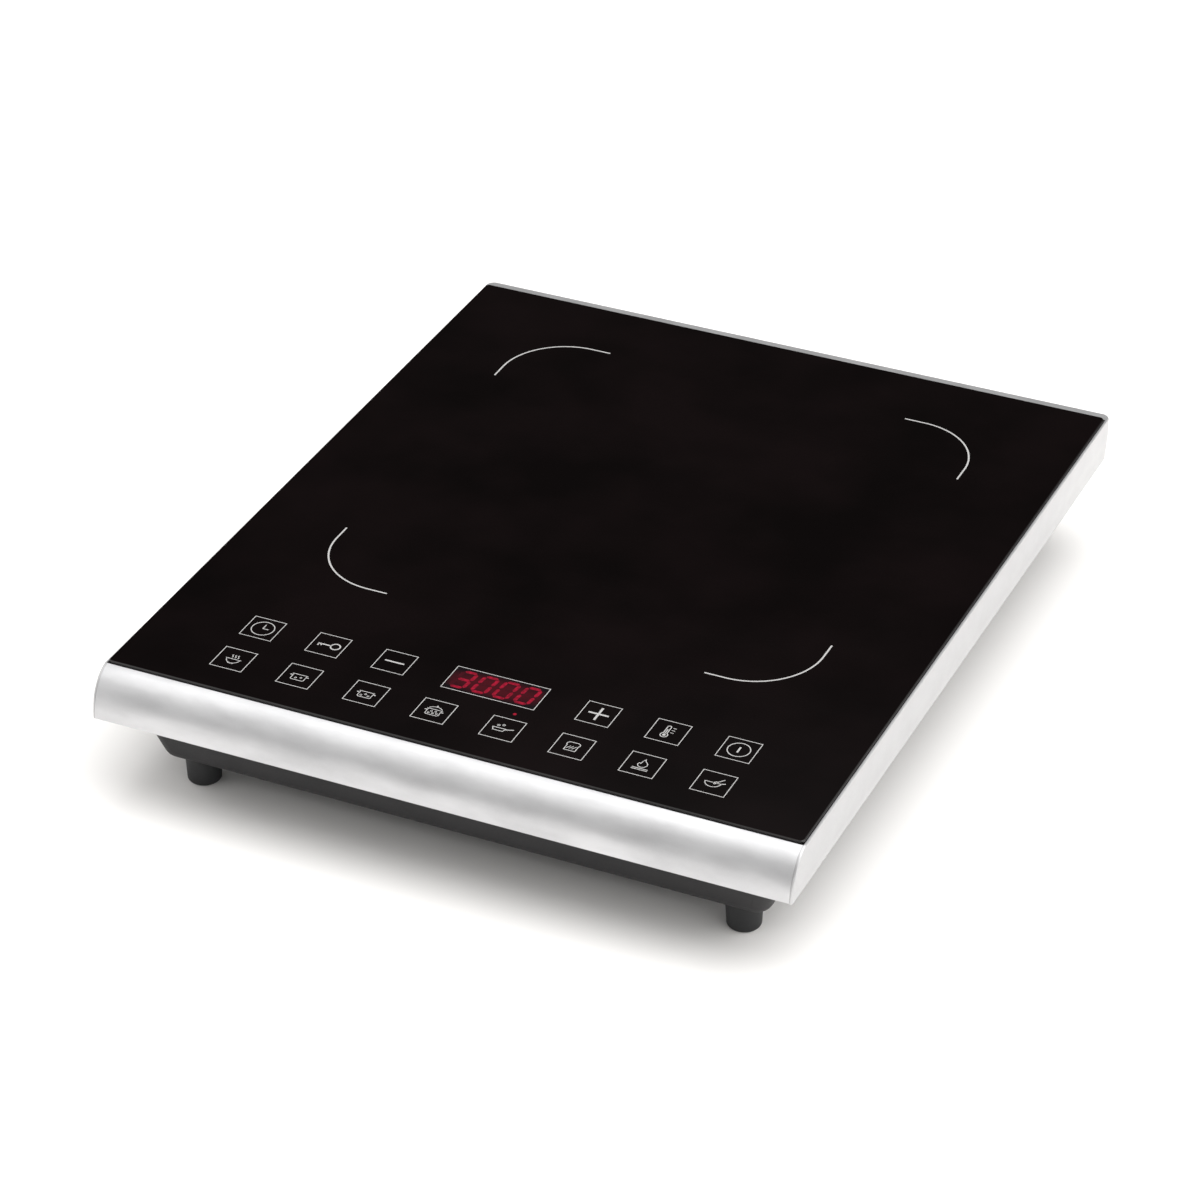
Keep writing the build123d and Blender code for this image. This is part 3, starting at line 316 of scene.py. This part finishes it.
def film_case(name, dark, light):
    """Epoxy-dipped or potted film capacitor case."""
    material = new_material(name, dark, 0.30, Coat_Weight=0.4, Coat_Roughness=0.2)
    tint(material, grain(material, 5.0), dark, light)
    relief(material, grain(material, 1.5), 0.04)
    relief(material, grain(material, 0.2), 0.004)
    return material


def lamp_red():
    """Tinted epoxy lens of an indicator lamp."""
    material = new_material("lamp_red", (0.50, 0.012, 0.010), 0.12, Transmission_Weight=0.55, IOR=1.5)
    tint(material, grain(material, 1.0), (0.42, 0.008, 0.008), (0.58, 0.018, 0.014))
    relief(material, grain(material, 0.8), 0.006)
    return material


def fuse_glass():
    material = new_material("fuse_glass", (0.86, 0.90, 0.90), 0.06, Transmission_Weight=0.7, IOR=1.47)
    gloss(material, grain(material, 2.0), 0.04, 0.12)
    relief(material, grain(material, 2.5), 0.01)
    return material


FINISHES = {
    "ceramic_glass": ceramic_glass(),
    "silicone": silicone(),
    "silver_casing": silver_casing(),
    "satin_aluminium": satin_aluminium(),
    "charcoal_plastic": charcoal_plastic(),
    "foot_rubber": foot_rubber(),
    "black_plastic": moulded("black_plastic", (0.018, 0.018, 0.019), (0.028, 0.028, 0.029), 0.42),
    "white_plastic": moulded("white_plastic", (0.70, 0.69, 0.66), (0.78, 0.77, 0.74), 0.40, 0.5, 0.01),
    "screw_steel": screw_steel(),
    "brass_fittings": metal("brass_fittings", (0.66, 0.47, 0.18), (0.80, 0.62, 0.30), 0.32),
    "heat_resistant_plastic": moulded("heat_resistant_plastic", (0.055, 0.054, 0.053),
                                      (0.085, 0.083, 0.080), 0.46, 0.7, 0.02),
    "copper_litz": copper_litz(),
    "ferrite": ferrite(),
    "mica": mica(),
    "sensor_ceramic": sensor_ceramic(),
    "spring_steel": metal("spring_steel", (0.50, 0.50, 0.51), (0.66, 0.66, 0.67), 0.26, size=0.3),
    "lead_insulation": lead_insulation(),
    "board_laminate": board_laminate(),
    "extruded_aluminium": metal("extruded_aluminium", (0.60, 0.61, 0.63), (0.74, 0.75, 0.77), 0.36,
                                (0.04, 1, 1), 0.4, 0.012),
    "epoxy_black": moulded("epoxy_black", (0.014, 0.014, 0.015), (0.024, 0.024, 0.025), 0.38, 0.3, 0.01),
    "film_yellow": film_case("film_yellow", (0.66, 0.40, 0.035), (0.74, 0.48, 0.06)),
    "film_blue": film_case("film_blue", (0.035, 0.12, 0.40), (0.05, 0.17, 0.48)),
    "display_body": moulded("display_body", (0.030, 0.026, 0.027), (0.045, 0.038, 0.040), 0.35,
                            0.5, 0.008),
    "lamp_red": lamp_red(),
    "fuse_glass": fuse_glass(),
}


def finish_of_nodes():
    """Gives every CAD node the procedural material of its slot."""
    for part in frame["record"]["subparts"]:
        node = frame["nodes"][part["node"]]
        for i in range(len(node.material_slots)):
            node.material_slots[i].material = FINISHES[part["material_slot"]]


finish_of_nodes()


# ---- materials of the print and the lights under the glass ----
def screen_print():
    """Pale grey ceramic ink, a little rough at its surface."""
    material = new_material("screen_print", (0.40, 0.395, 0.39), 0.38)
    tint(material, grain(material, 0.4), (0.34, 0.335, 0.33), (0.48, 0.475, 0.47))
    relief(material, grain(material, 0.12), 0.004)
    return material


def lit(name, colour, strength, size, low, high):
    """Light that shows through the glass: a glossy black surface with an uneven glow."""
    material = new_material(name, (0.006, 0.0045, 0.0055), 0.06, Emission_Color=(*colour, 1.0))
    glow = remap(material, grain(material, size), 0.3, 0.7, low * strength, high * strength)
    material.node_tree.links.new(glow, shader(material).inputs["Emission Strength"])
    return material


def display_haze():
    """Faint red glow round the digits, fading to the edges of the window."""
    material = new_material("display_haze", (0.006, 0.0045, 0.0055), 0.05,
                            Emission_Color=(0.55, 0.01, 0.04, 1.0))
    place = coordinates(material, (1 / (DISPLAY_W * MM), 1.5 / (DISPLAY_D * MM), 0),
                        (0, FRONT_Y + CONTROL_ROW * MM, 0))
    reach = add(material, "ShaderNodeVectorMath", {0: place}, operation="LENGTH").outputs["Value"]
    glow = remap(material, reach, 0.74, 0.30, 0.0, 0.11)
    material.node_tree.links.new(glow, shader(material).inputs["Emission Strength"])
    return material


PRINT = screen_print()
DIGIT_LIGHT = lit("digit_light", (0.74, 0.010, 0.055), 0.46, 1.3, 0.45, 1.35)
# Unlit segments get a faint painted glow, though they are switched off.
UNLIT_SEGMENT_PAINTED_GLOW = lit("digit_unlit_painted_glow", (0.60, 0.01, 0.05), 0.09, 1.6, 0.8, 1.2)
LAMP_LIGHT = lit("lamp_light", (0.80, 0.015, 0.06), 0.45, 0.8, 0.7, 1.3)


# ---- mesh helpers ----
def piece(name, mesh, material, body="housing", smooth=True):
    """Object from a bmesh; it rides on a body, unless body is None, and its finish is a slot's."""
    bmesh.ops.recalc_face_normals(mesh, faces=mesh.faces)
    data = bpy.data.meshes.new(name)
    mesh.to_mesh(data)
    mesh.free()
    data.polygons.foreach_set("use_smooth", [smooth] * len(data.polygons))
    data.materials.append(material)
    made = bpy.data.objects.new(name, data)
    bpy.context.scene.collection.objects.link(made)
    if body:
        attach(made, body)
    return made


def prism(mesh, outline, low, high):
    """Closed prism over a flat outline."""
    bottom = [mesh.verts.new((x, y, low)) for x, y in outline]
    top = [mesh.verts.new((x, y, high)) for x, y in outline]
    mesh.faces.new(bottom[::-1])
    mesh.faces.new(top)
    for i in range(len(outline)):
        j = (i + 1) % len(outline)
        mesh.faces.new((bottom[i], bottom[j], top[j], top[i]))


def ribbon(mesh, points, width, low, high, closed):
    """Thin line of a given width along points, with mitred corners."""
    count = len(points)
    rails = []
    for i, point in enumerate(points):
        before = points[i - 1] if closed or i > 0 else point
        after = points[(i + 1) % count] if closed or i < count - 1 else point
        ways = [(b - a).normalized() for a, b in ((before, point), (point, after)) if (b - a).length > 0]
        way = (ways[0] + ways[-1]).normalized()
        across = Vector((-way.y, way.x)) * (width / 2 / max(way.dot(ways[0]), 0.4))
        rails.append([mesh.verts.new((*(point + side * across), z))
                      for z in (low, high) for side in (-1, 1)])
    for i in range(count if closed else count - 1):
        a, b = rails[i], rails[(i + 1) % count]
        for m, n in ((0, 1), (1, 3), (3, 2), (2, 0)):
            mesh.faces.new((a[m], a[n], b[n], b[m]))
    if not closed:
        for end in (rails[0], rails[-1]):
            mesh.faces.new((end[0], end[1], end[3], end[2]))


def arc(x, y, radius, start, stop, steps=24):
    """Points on a circle, angles in degrees."""
    turns = [math.radians(start + (stop - start) * i / steps) for i in range(steps + 1)]
    return [(x + radius * math.cos(a), y + radius * math.sin(a)) for a in turns]


def circle(x, y, radius, steps=32):
    return arc(x, y, radius, 0, 360 * (steps - 1) / steps, steps - 1)


def rectangle(x, y, width, depth):
    return [(x + sx * width / 2, y + sy * depth / 2) for sx, sy in ((-1, -1), (1, -1), (1, 1), (-1, 1))]


def line(points, closed=False, width=LINE):
    """One printed line of a drawing."""
    return {"points": points, "closed": closed, "width": width}


def filled(points):
    """One printed area of a drawing."""
    return {"points": points, "width": 0}


def on_glass(name, drawing, centre, material=None, lift=0.01):
    """Drawing laid on the glass; its centre is x, and y back from the glass's front edge."""
    mesh = bmesh.new()
    low = TOP_Z + lift * MM
    high = low + PRINT_T * MM
    for item in drawing:
        points = [Vector(((centre[0] + x) * MM, FRONT_Y + (centre[1] + y) * MM)) for x, y in item["points"]]
        if item["width"]:
            ribbon(mesh, points, item["width"] * MM, low, high, item["closed"])
        else:
            prism(mesh, points, low, high)
    return piece(name, mesh, material or PRINT, smooth=False)


# ---- print: cooking zone and keys ----
def zone_corner(side, back):
    """One rounded corner of the square, with a short straight tail at each end."""
    inner = ZONE_HALF - ZONE_ARC
    bend = [(side * x, back * y) for x, y in arc(inner, inner, ZONE_ARC, 0, 90, 36)]
    first = (side * ZONE_HALF, back * (inner - ZONE_TAIL))
    last = (side * (inner - ZONE_TAIL), back * ZONE_HALF)
    return line([first] + bend + [last], width=ZONE_LINE)


def timer_icon():
    return [line(circle(0, 0, 4.8, 40), True, 0.4), line([(0, 3.0), (0, 0), (2.5, 0)], width=0.42)]


def key_icon():
    return [line(circle(3.2, 0, 2.0), True, 0.6), line([(1.2, 0), (-4.6, 0)], width=0.7),
            line([(-4.2, 0), (-4.2, -1.5)], width=0.6), line([(-2.9, 0), (-2.9, -1.2)], width=0.6)]


def minus_icon():
    return [line([(-4.3, 0), (4.3, 0)], width=0.85)]


def plus_icon():
    return [filled(rectangle(0, 0, 8.8, 0.95)), filled(rectangle(0, 2.45, 0.95, 3.9)),
            filled(rectangle(0, -2.45, 0.95, 3.9))]


def thermometer_icon():
    """Stem with a bulb below, and three graduation marks."""
    bulb = arc(-0.8, -2.5, 1.5, 120, 420, 24)
    stem = arc(-0.8, 3.2, 0.75, 0, 180, 10)
    marks = [line([(0.9, y), (2.3, y)], width=0.35) for y in (3.0, 1.4, -0.2)]
    return [line(bulb + stem, True, 0.4), filled(circle(-0.8, -2.5, 0.7, 16)),
            line([(-0.8, -2.0), (-0.8, 1.6)], width=0.4)] + marks


def power_icon():
    return [line(circle(0, 0, 4.6, 40), True, 0.42), line([(0, -1.9), (0, 1.9)], width=0.75)]


def steam(x, y, height=2.0):
    """Wavy line that rises from x, y."""
    return line([(x + 0.35 * math.sin(i * math.pi / 4), y + height * i / 8) for i in range(9)], width=0.32)


def bowl_icon():
    """Bowl that is kept warm."""
    side = arc(0, 0, 2.9, 180, 360, 20)
    return [line([(-3.5, 0), (3.5, 0)], width=0.35), line(side, width=0.35),
            line([(-1.2, -3.1), (1.2, -3.1)], width=0.35)] + [steam(x, 0.9) for x in (-1.3, 0, 1.3)]


def pot_icon(bubbles, lid=False):
    """Pot with two handles, and bubbles in it."""
    wall = [(-2.9, 1.0), (-2.9, -2.4), (-2.4, -2.9), (2.4, -2.9), (2.9, -2.4), (2.9, 1.0)]
    drawing = [line(wall, width=0.35), line([(-3.4, 1.0), (3.4, 1.0)], width=0.35)]
    drawing += [line([(side * 2.9, 0), (side * 4.1, 0)], width=0.5) for side in (-1, 1)]
    drawing += [line(circle(x, y, 0.38, 12), True, 0.26) for x, y in bubbles]
    if lid:
        drawing += [line(arc(0, -1.2, 4.0, 45, 135, 14), width=0.35), filled(circle(0, 3.4, 0.4, 12))]
    return drawing


def pan_icon():
    """Shallow pan with a long handle, tossing two morsels."""
    body = [(-4.2, 0), (-3.5, -1.8), (0.7, -1.8), (1.4, 0)]
    return [line(body, True, 0.38), line([(1.4, -0.4), (4.6, 0.7)], width=0.5),
            line(circle(-2.4, 1.6, 0.5, 12), True, 0.28), line(circle(-0.5, 2.4, 0.5, 12), True, 0.28)]


def toast_icon():
    """Slice with a rounded top and three browning marks."""
    crust = [(2.4, -2.8), (2.4, 0.6)] + arc(1.5, 1.5, 1.3, -30, 95, 8) + arc(-1.5, 1.5, 1.3, 85, 210, 8)
    marks = [line([(x - 0.8, -1.7), (x + 0.5, 0.3)], width=0.32) for x in (-1.1, 0.1, 1.3)]
    return [line(crust + [(-2.4, 0.6), (-2.4, -2.8)], True, 0.38)] + marks


def grill_icon():
    """Flame over two bars."""
    flame = [(0, 3.7), (0.5, 2.4), (1.7, 1.2), (2.0, -0.2), (1.3, -1.4), (0, -1.8), (-1.3, -1.4),
             (-2.0, -0.2), (-1.5, 0.9), (-0.9, 0.5), (-0.7, 2.2)]
    return [line(flame, True, 0.35)] + [line([(-3.4, y), (3.4, y)], width=0.4) for y in (-2.6, -3.5)]


def wok_icon():
    """Wok and a spatula."""
    bowl = arc(-0.4, 0.9, 3.4, 188, 352, 20)
    blade = [(-0.4, 0.5), (0.3, -0.4), (1.4, 0.6), (0.8, 1.4)]
    return [line(bowl, True, 0.36), line([(2.9, 0.5), (4.5, 1.2)], width=0.5), line(blade, True, 0.32),
            line([(1.1, 1.0), (3.3, 3.6)], width=0.4)]


PRESETS = {
    "warm": bowl_icon(),
    "simmer": pot_icon([(-1.0, -1.5), (1.1, -0.9)]),
    "boil": pot_icon([(-1.6, -1.7), (0, -0.6), (1.5, -1.6)]),
    "rapid_boil": pot_icon([(-1.7, -1.8), (-0.9, -0.4), (0.1, -1.7), (0.9, -0.3), (1.8, -1.6)], True),
    "saute": pan_icon(),
    "brown": toast_icon(),
    "sear": grill_icon(),
    "stir_fry": wok_icon(),
}
CONTROLS = {"timer": (-3.5, timer_icon()), "lock": (-2.5, key_icon()), "minus": (-1.5, minus_icon()),
            "plus": (1.5, plus_icon()), "temperature": (2.5, thermometer_icon()),
            "power": (3.5, power_icon())}


def printed_marks():
    """Zone corners, and a square with its pictogram for every key."""
    centre = (0, (COIL_Y - FRONT_Y) / MM)
    for name, side, back in (("front_left", -1, -1), ("front_right", 1, -1), ("rear_left", -1, 1),
                             ("rear_right", 1, 1)):
        on_glass(f"zone_mark_{name}", [zone_corner(side, back)], centre)
    frame_line = line(rectangle(0, 0, KEY_SIZE, KEY_SIZE), True)
    for i, (name, icon) in enumerate(PRESETS.items()):
        on_glass(f"key_{name}", [frame_line] + icon, (KEY_PITCH * (i - 3.5), PRESET_ROW))
    for name, (step, icon) in CONTROLS.items():
        on_glass(f"key_{name}", [frame_line] + icon, (KEY_PITCH * step, CONTROL_ROW))
    on_glass("display_outline", [line(rectangle(0, 0, DISPLAY_W, DISPLAY_D), True)], (0, CONTROL_ROW))


printed_marks()


# ---- display and lit lamp ----
DIGIT_W, DIGIT_D, DIGIT_PITCH = 5.8, 11.2, 9.4
SEGMENT_W = 1.55
SLANT = 0.12
SEGMENTS = {"top": (0, 1, True), "middle": (0, 0, True), "bottom": (0, -1, True),
            "upper_left": (-1, 0.5, False), "upper_right": (1, 0.5, False),
            "lower_left": (-1, -0.5, False), "lower_right": (1, -0.5, False)}
DARK_SEGMENTS = {"0": ("middle",), "3": ("upper_left", "lower_left")}


def segment(x, y, flat):
    """Six-sided bar of a digit, leaning with it."""
    length = (DIGIT_W if flat else DIGIT_D / 2) / 2 - 0.25
    half = SEGMENT_W / 2
    bar = [(-length, 0), (half - length, -half), (length - half, -half), (length, 0),
           (length - half, half), (half - length, half)]
    spots = [(a, b) if flat else (b, a) for a, b in bar]
    centre = (x * DIGIT_W / 2, y * DIGIT_D / 2)
    return [(centre[0] + a + SLANT * (centre[1] + b), centre[1] + b) for a, b in spots]


def display(text):
    """Four seven-segment digits under the glass, lit and unlit segments apart."""
    window = rectangle(0, 0, DISPLAY_W - 1.0, DISPLAY_D - 1.0)
    on_glass("display_window", [filled(window)], (0, CONTROL_ROW), display_haze(), 0.0)
    glowing, resting = [], []
    for i, digit in enumerate(text):
        shift = (i - (len(text) - 1) / 2) * DIGIT_PITCH
        for name, (x, y, flat) in SEGMENTS.items():
            bar = [(shift + a, b) for a, b in segment(x, y, flat)]
            (resting if name in DARK_SEGMENTS[digit] else glowing).append(filled(bar))
    on_glass("display_digits", glowing, (0, CONTROL_ROW), DIGIT_LIGHT, 0.035)
    # The unlit segments carry a faint painted glow.
    on_glass("display_unlit_segments", resting, (0, CONTROL_ROW), UNLIT_SEGMENT_PAINTED_GLOW, 0.035)


display("3000")
on_glass("lit_lamp", [filled(circle(0, 0, 0.75, 20))], (KEY_PITCH / 2, LAMP_ROW), LAMP_LIGHT)


# ---- wound pieces under the glass ----
COIL_IN, COIL_OUT = 26.5 * MM, 90.2 * MM        # middle of the inner and outer turn
COIL_TURNS = 13.026                             # the inner end is in front, the outer end beside it
COIL_START = math.radians(-90.0)
STEPS_A_TURN = 72
BUNDLE_FILL = 0.49              # the bundle's radius, as a share of the winding's height
BUNDLE_SIDES = 14
SPRING_WIRE = 0.5 * MM          # radius
SPRING_TURNS = 5.5
END_TURNS = 0.14                # share of the turns that lie nearly flat at each end
END_RISE = 0.28                 # share of the height that both ends rise together
LEAD_WIRE = 0.7 * MM            # radius
LEAD_RUN = 34.1 * MM            # straight run in front of the connector
LEAD_BEND = 4.0 * MM            # distance from a corner at which its bend starts
BEND_STEPS = 8
UPRIGHT = 0.95                  # a way steeper than this has no level side


def tube(mesh, points, radius, sides=10):
    """Closed round tube along points; its rings keep one side up."""
    rings = []
    for i, point in enumerate(points):
        way = (points[min(i + 1, len(points) - 1)] - points[max(i - 1, 0)]).normalized()
        side = way.orthogonal() if abs(way.z) > UPRIGHT else Vector((way.y, -way.x, 0.0))
        side.normalize()
        up = side.cross(way)
        rings.append([mesh.verts.new(point + radius * (side * math.cos(a) + up * math.sin(a)))
                      for a in (math.tau * k / sides for k in range(sides))])
    for a, b in zip(rings, rings[1:]):
        for k in range(sides):
            n = (k + 1) % sides
            mesh.faces.new((a[k], a[n], b[n], b[k]))
    mesh.faces.new(rings[0][::-1])
    mesh.faces.new(rings[-1])


def turning(turns, radius_at, z_at):
    """Points of a spiral or helix round the coil's centre."""
    count = round(turns * STEPS_A_TURN)
    for i in range(count + 1):
        part = i / count
        angle, radius = COIL_START + math.tau * turns * part, radius_at(part)
        yield Vector((radius * math.cos(angle), COIL_Y + radius * math.sin(angle), z_at(part)))


def make_winding():
    """One litz bundle wound in a flat spiral, its turns side by side."""
    height = COIL_HIGH.z - COIL_LOW.z
    middle = (COIL_LOW.z + COIL_HIGH.z) / 2
    mesh = bmesh.new()
    spiral = turning(COIL_TURNS, lambda t: COIL_IN + (COIL_OUT - COIL_IN) * t, lambda t: middle)
    tube(mesh, list(spiral), BUNDLE_FILL * height, BUNDLE_SIDES)
    winding = piece("coil_winding", mesh, FINISHES["copper_litz"])
    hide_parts("induction_coil")


def make_spring():
    """Sensor spring, with closed end turns."""
    low, high = SPRING_LOW.z + SPRING_WIRE, SPRING_HIGH.z - SPRING_WIRE
    radius = (SPRING_HIGH.x - SPRING_LOW.x) / 2 - SPRING_WIRE

    def height(part):
        rise = min(max((part - END_TURNS) / (1 - 2 * END_TURNS), 0.0), 1.0)
        lie = (min(part, END_TURNS) + max(part - 1 + END_TURNS, 0.0)) / (2 * END_TURNS)
        return low + (high - low) * ((1 - END_RISE) * rise + END_RISE * lie)

    mesh = bmesh.new()
    tube(mesh, list(turning(SPRING_TURNS, lambda t: radius, height)), SPRING_WIRE)
    spring = piece("sensor_return_spring", mesh, FINISHES["spring_steel"])
    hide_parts("sensor_spring")
    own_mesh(spring)


def make_sensor_lead():
    """Twin lead from the sensor's stem to the main board."""
    plug_x, plug_y, run_z = LEAD_LOW.x + LEAD_WIRE, LEAD_LOW.y, LEAD_LOW.z + LEAD_WIRE
    gap = LEAD_HIGH.x - LEAD_WIRE               # each wire's distance from the stem's centre
    bends = ((-gap, COIL_Y, run_z), (plug_x, plug_y + LEAD_RUN, run_z))
    mesh = bmesh.new()
    for side in (0.0, 2 * gap):
        shift = Vector((side, 0.0, 0.0))
        corners = [Vector((-gap, COIL_Y, LEAD_HIGH.z))] + [Vector(point) for point in bends]
        corners.append(Vector((plug_x, plug_y, run_z)))
        path = [corners[0].lerp(corners[1], part / BEND_STEPS) for part in range(BEND_STEPS // 2)]
        for before, corner, after in zip(corners, corners[1:], corners[2:]):
            start = corner + (before - corner).normalized() * LEAD_BEND
            stop = corner + (after - corner).normalized() * LEAD_BEND
            for step in range(BEND_STEPS + 1):
                t = step / BEND_STEPS
                path.append(start.lerp(corner, t).lerp(corner.lerp(stop, t), t))
        path.append(corners[-1])
        tube(mesh, [point + shift for point in path], LEAD_WIRE)
    lead = piece("sensor_twin_lead", mesh, FINISHES["lead_insulation"], None)
    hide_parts("sensor_lead")
    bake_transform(lead)


make_winding()
make_spring()
make_sensor_lead()


# ---- camera, light and floor ----
CAMERA_TURN = (24.95, 32.70, -0.387)            # azimuth, elevation and roll in degrees
CAMERA_DISTANCE = 1.7201
CAMERA_LENS, CAMERA_SENSOR = 125.9, 36.0        # millimetres
LOOK_X, LOOK_BACK = 10.74 * MM, 121.58 * MM     # point looked at: right, and behind the glass's edge
FLOOR_HALF = 8.0
NIGHT = 0.005                                   # brightness of the surround away from its lights
# Direction, where the light starts and is full as the cosine of the angle to it, and its strength.
SURROUND = (((0.0, 0.0, 1.0), 0.54, 0.86, 1.0),
            ((0.10, -1.0, 0.05), 0.30, 0.95, 0.24),
            ((1.0, 0.10, 0.45), 0.55, 0.95, 2.10),
            ((-1.0, -0.25, 0.40), 0.55, 0.95, 1.15))


def make_camera():
    azimuth, elevation, roll = (math.radians(a) for a in CAMERA_TURN)
    target = Vector((LOOK_X, FRONT_Y + LOOK_BACK, TOP_Z))
    back = Vector((math.sin(azimuth) * math.cos(elevation), -math.cos(azimuth) * math.cos(elevation),
                   math.sin(elevation)))
    level = Vector((math.cos(azimuth), math.sin(azimuth), 0))
    upright = back.cross(level)
    right = math.cos(roll) * level + math.sin(roll) * upright
    up = math.cos(roll) * upright - math.sin(roll) * level
    data = bpy.data.cameras.new("camera")
    data.lens, data.sensor_width = CAMERA_LENS, CAMERA_SENSOR
    data.clip_start, data.clip_end = 0.05, 50.0
    camera = bpy.data.objects.new("camera", data)
    bpy.context.scene.collection.objects.link(camera)
    turn = Matrix((right, up, back)).transposed().to_4x4()
    camera.matrix_world = Matrix.Translation(target + CAMERA_DISTANCE * back) @ turn
    bpy.context.scene.camera = camera


def make_sun(name, towards, strength, angle):
    """Wide soft light from a direction."""
    data = bpy.data.lights.new(name, "SUN")
    data.energy, data.angle = strength, math.radians(angle)
    lamp = bpy.data.objects.new(name, data)
    bpy.context.scene.collection.objects.link(lamp)
    lamp.rotation_mode = "QUATERNION"
    lamp.rotation_quaternion = Vector(towards).to_track_quat("Z", "Y")


def make_world():
    """Studio surround: bright overhead and at both sides, dim in front, dark low behind the hob."""
    world = bpy.data.worlds.new("studio")
    bpy.context.scene.world = world
    world.use_nodes = True
    tree = world.node_tree
    direction = tree.nodes.new("ShaderNodeTexCoord").outputs["Generated"]
    brightness = None
    for towards, start, stop, strength in SURROUND:
        facing = tree.nodes.new("ShaderNodeVectorMath")
        facing.operation = "DOT_PRODUCT"
        facing.inputs[1].default_value = Vector(towards).normalized()
        tree.links.new(direction, facing.inputs[0])
        level = tree.nodes.new("ShaderNodeMapRange")
        level.interpolation_type = "SMOOTHSTEP"
        for key, value in (("From Min", start), ("From Max", stop), ("To Min", NIGHT),
                           ("To Max", strength)):
            level.inputs[key].default_value = value
        tree.links.new(facing.outputs["Value"], level.inputs["Value"])
        if brightness is None:
            brightness = level.outputs["Result"]
            continue
        total = tree.nodes.new("ShaderNodeMath")
        total.operation = "ADD"
        tree.links.new(brightness, total.inputs[0])
        tree.links.new(level.outputs["Result"], total.inputs[1])
        brightness = total.outputs["Value"]
    tree.links.new(brightness, tree.nodes["Background"].inputs["Strength"])
    tree.nodes["Background"].inputs["Color"].default_value = (1.0, 0.995, 0.985, 1.0)


def make_floor():
    """White paper under the hob; it isn't part of it."""
    material = new_material("floor_paper", (0.93, 0.918, 0.905), 0.9)
    tint(material, grain(material, 900.0), (0.925, 0.913, 0.900), (0.935, 0.923, 0.910))
    mesh = bmesh.new()
    bmesh.ops.create_grid(mesh, x_segments=1, y_segments=1, size=FLOOR_HALF)
    data = bpy.data.meshes.new("floor")
    mesh.to_mesh(data)
    mesh.free()
    data.materials.append(material)
    floor = bpy.data.objects.new("floor", data)
    bpy.context.scene.collection.objects.link(floor)


make_camera()
make_floor()
make_world()
make_sun("overhead", (0.18, 0.10, 1.0), 1.70, 64.0)
bpy.context.scene.view_settings.view_transform = "Standard"
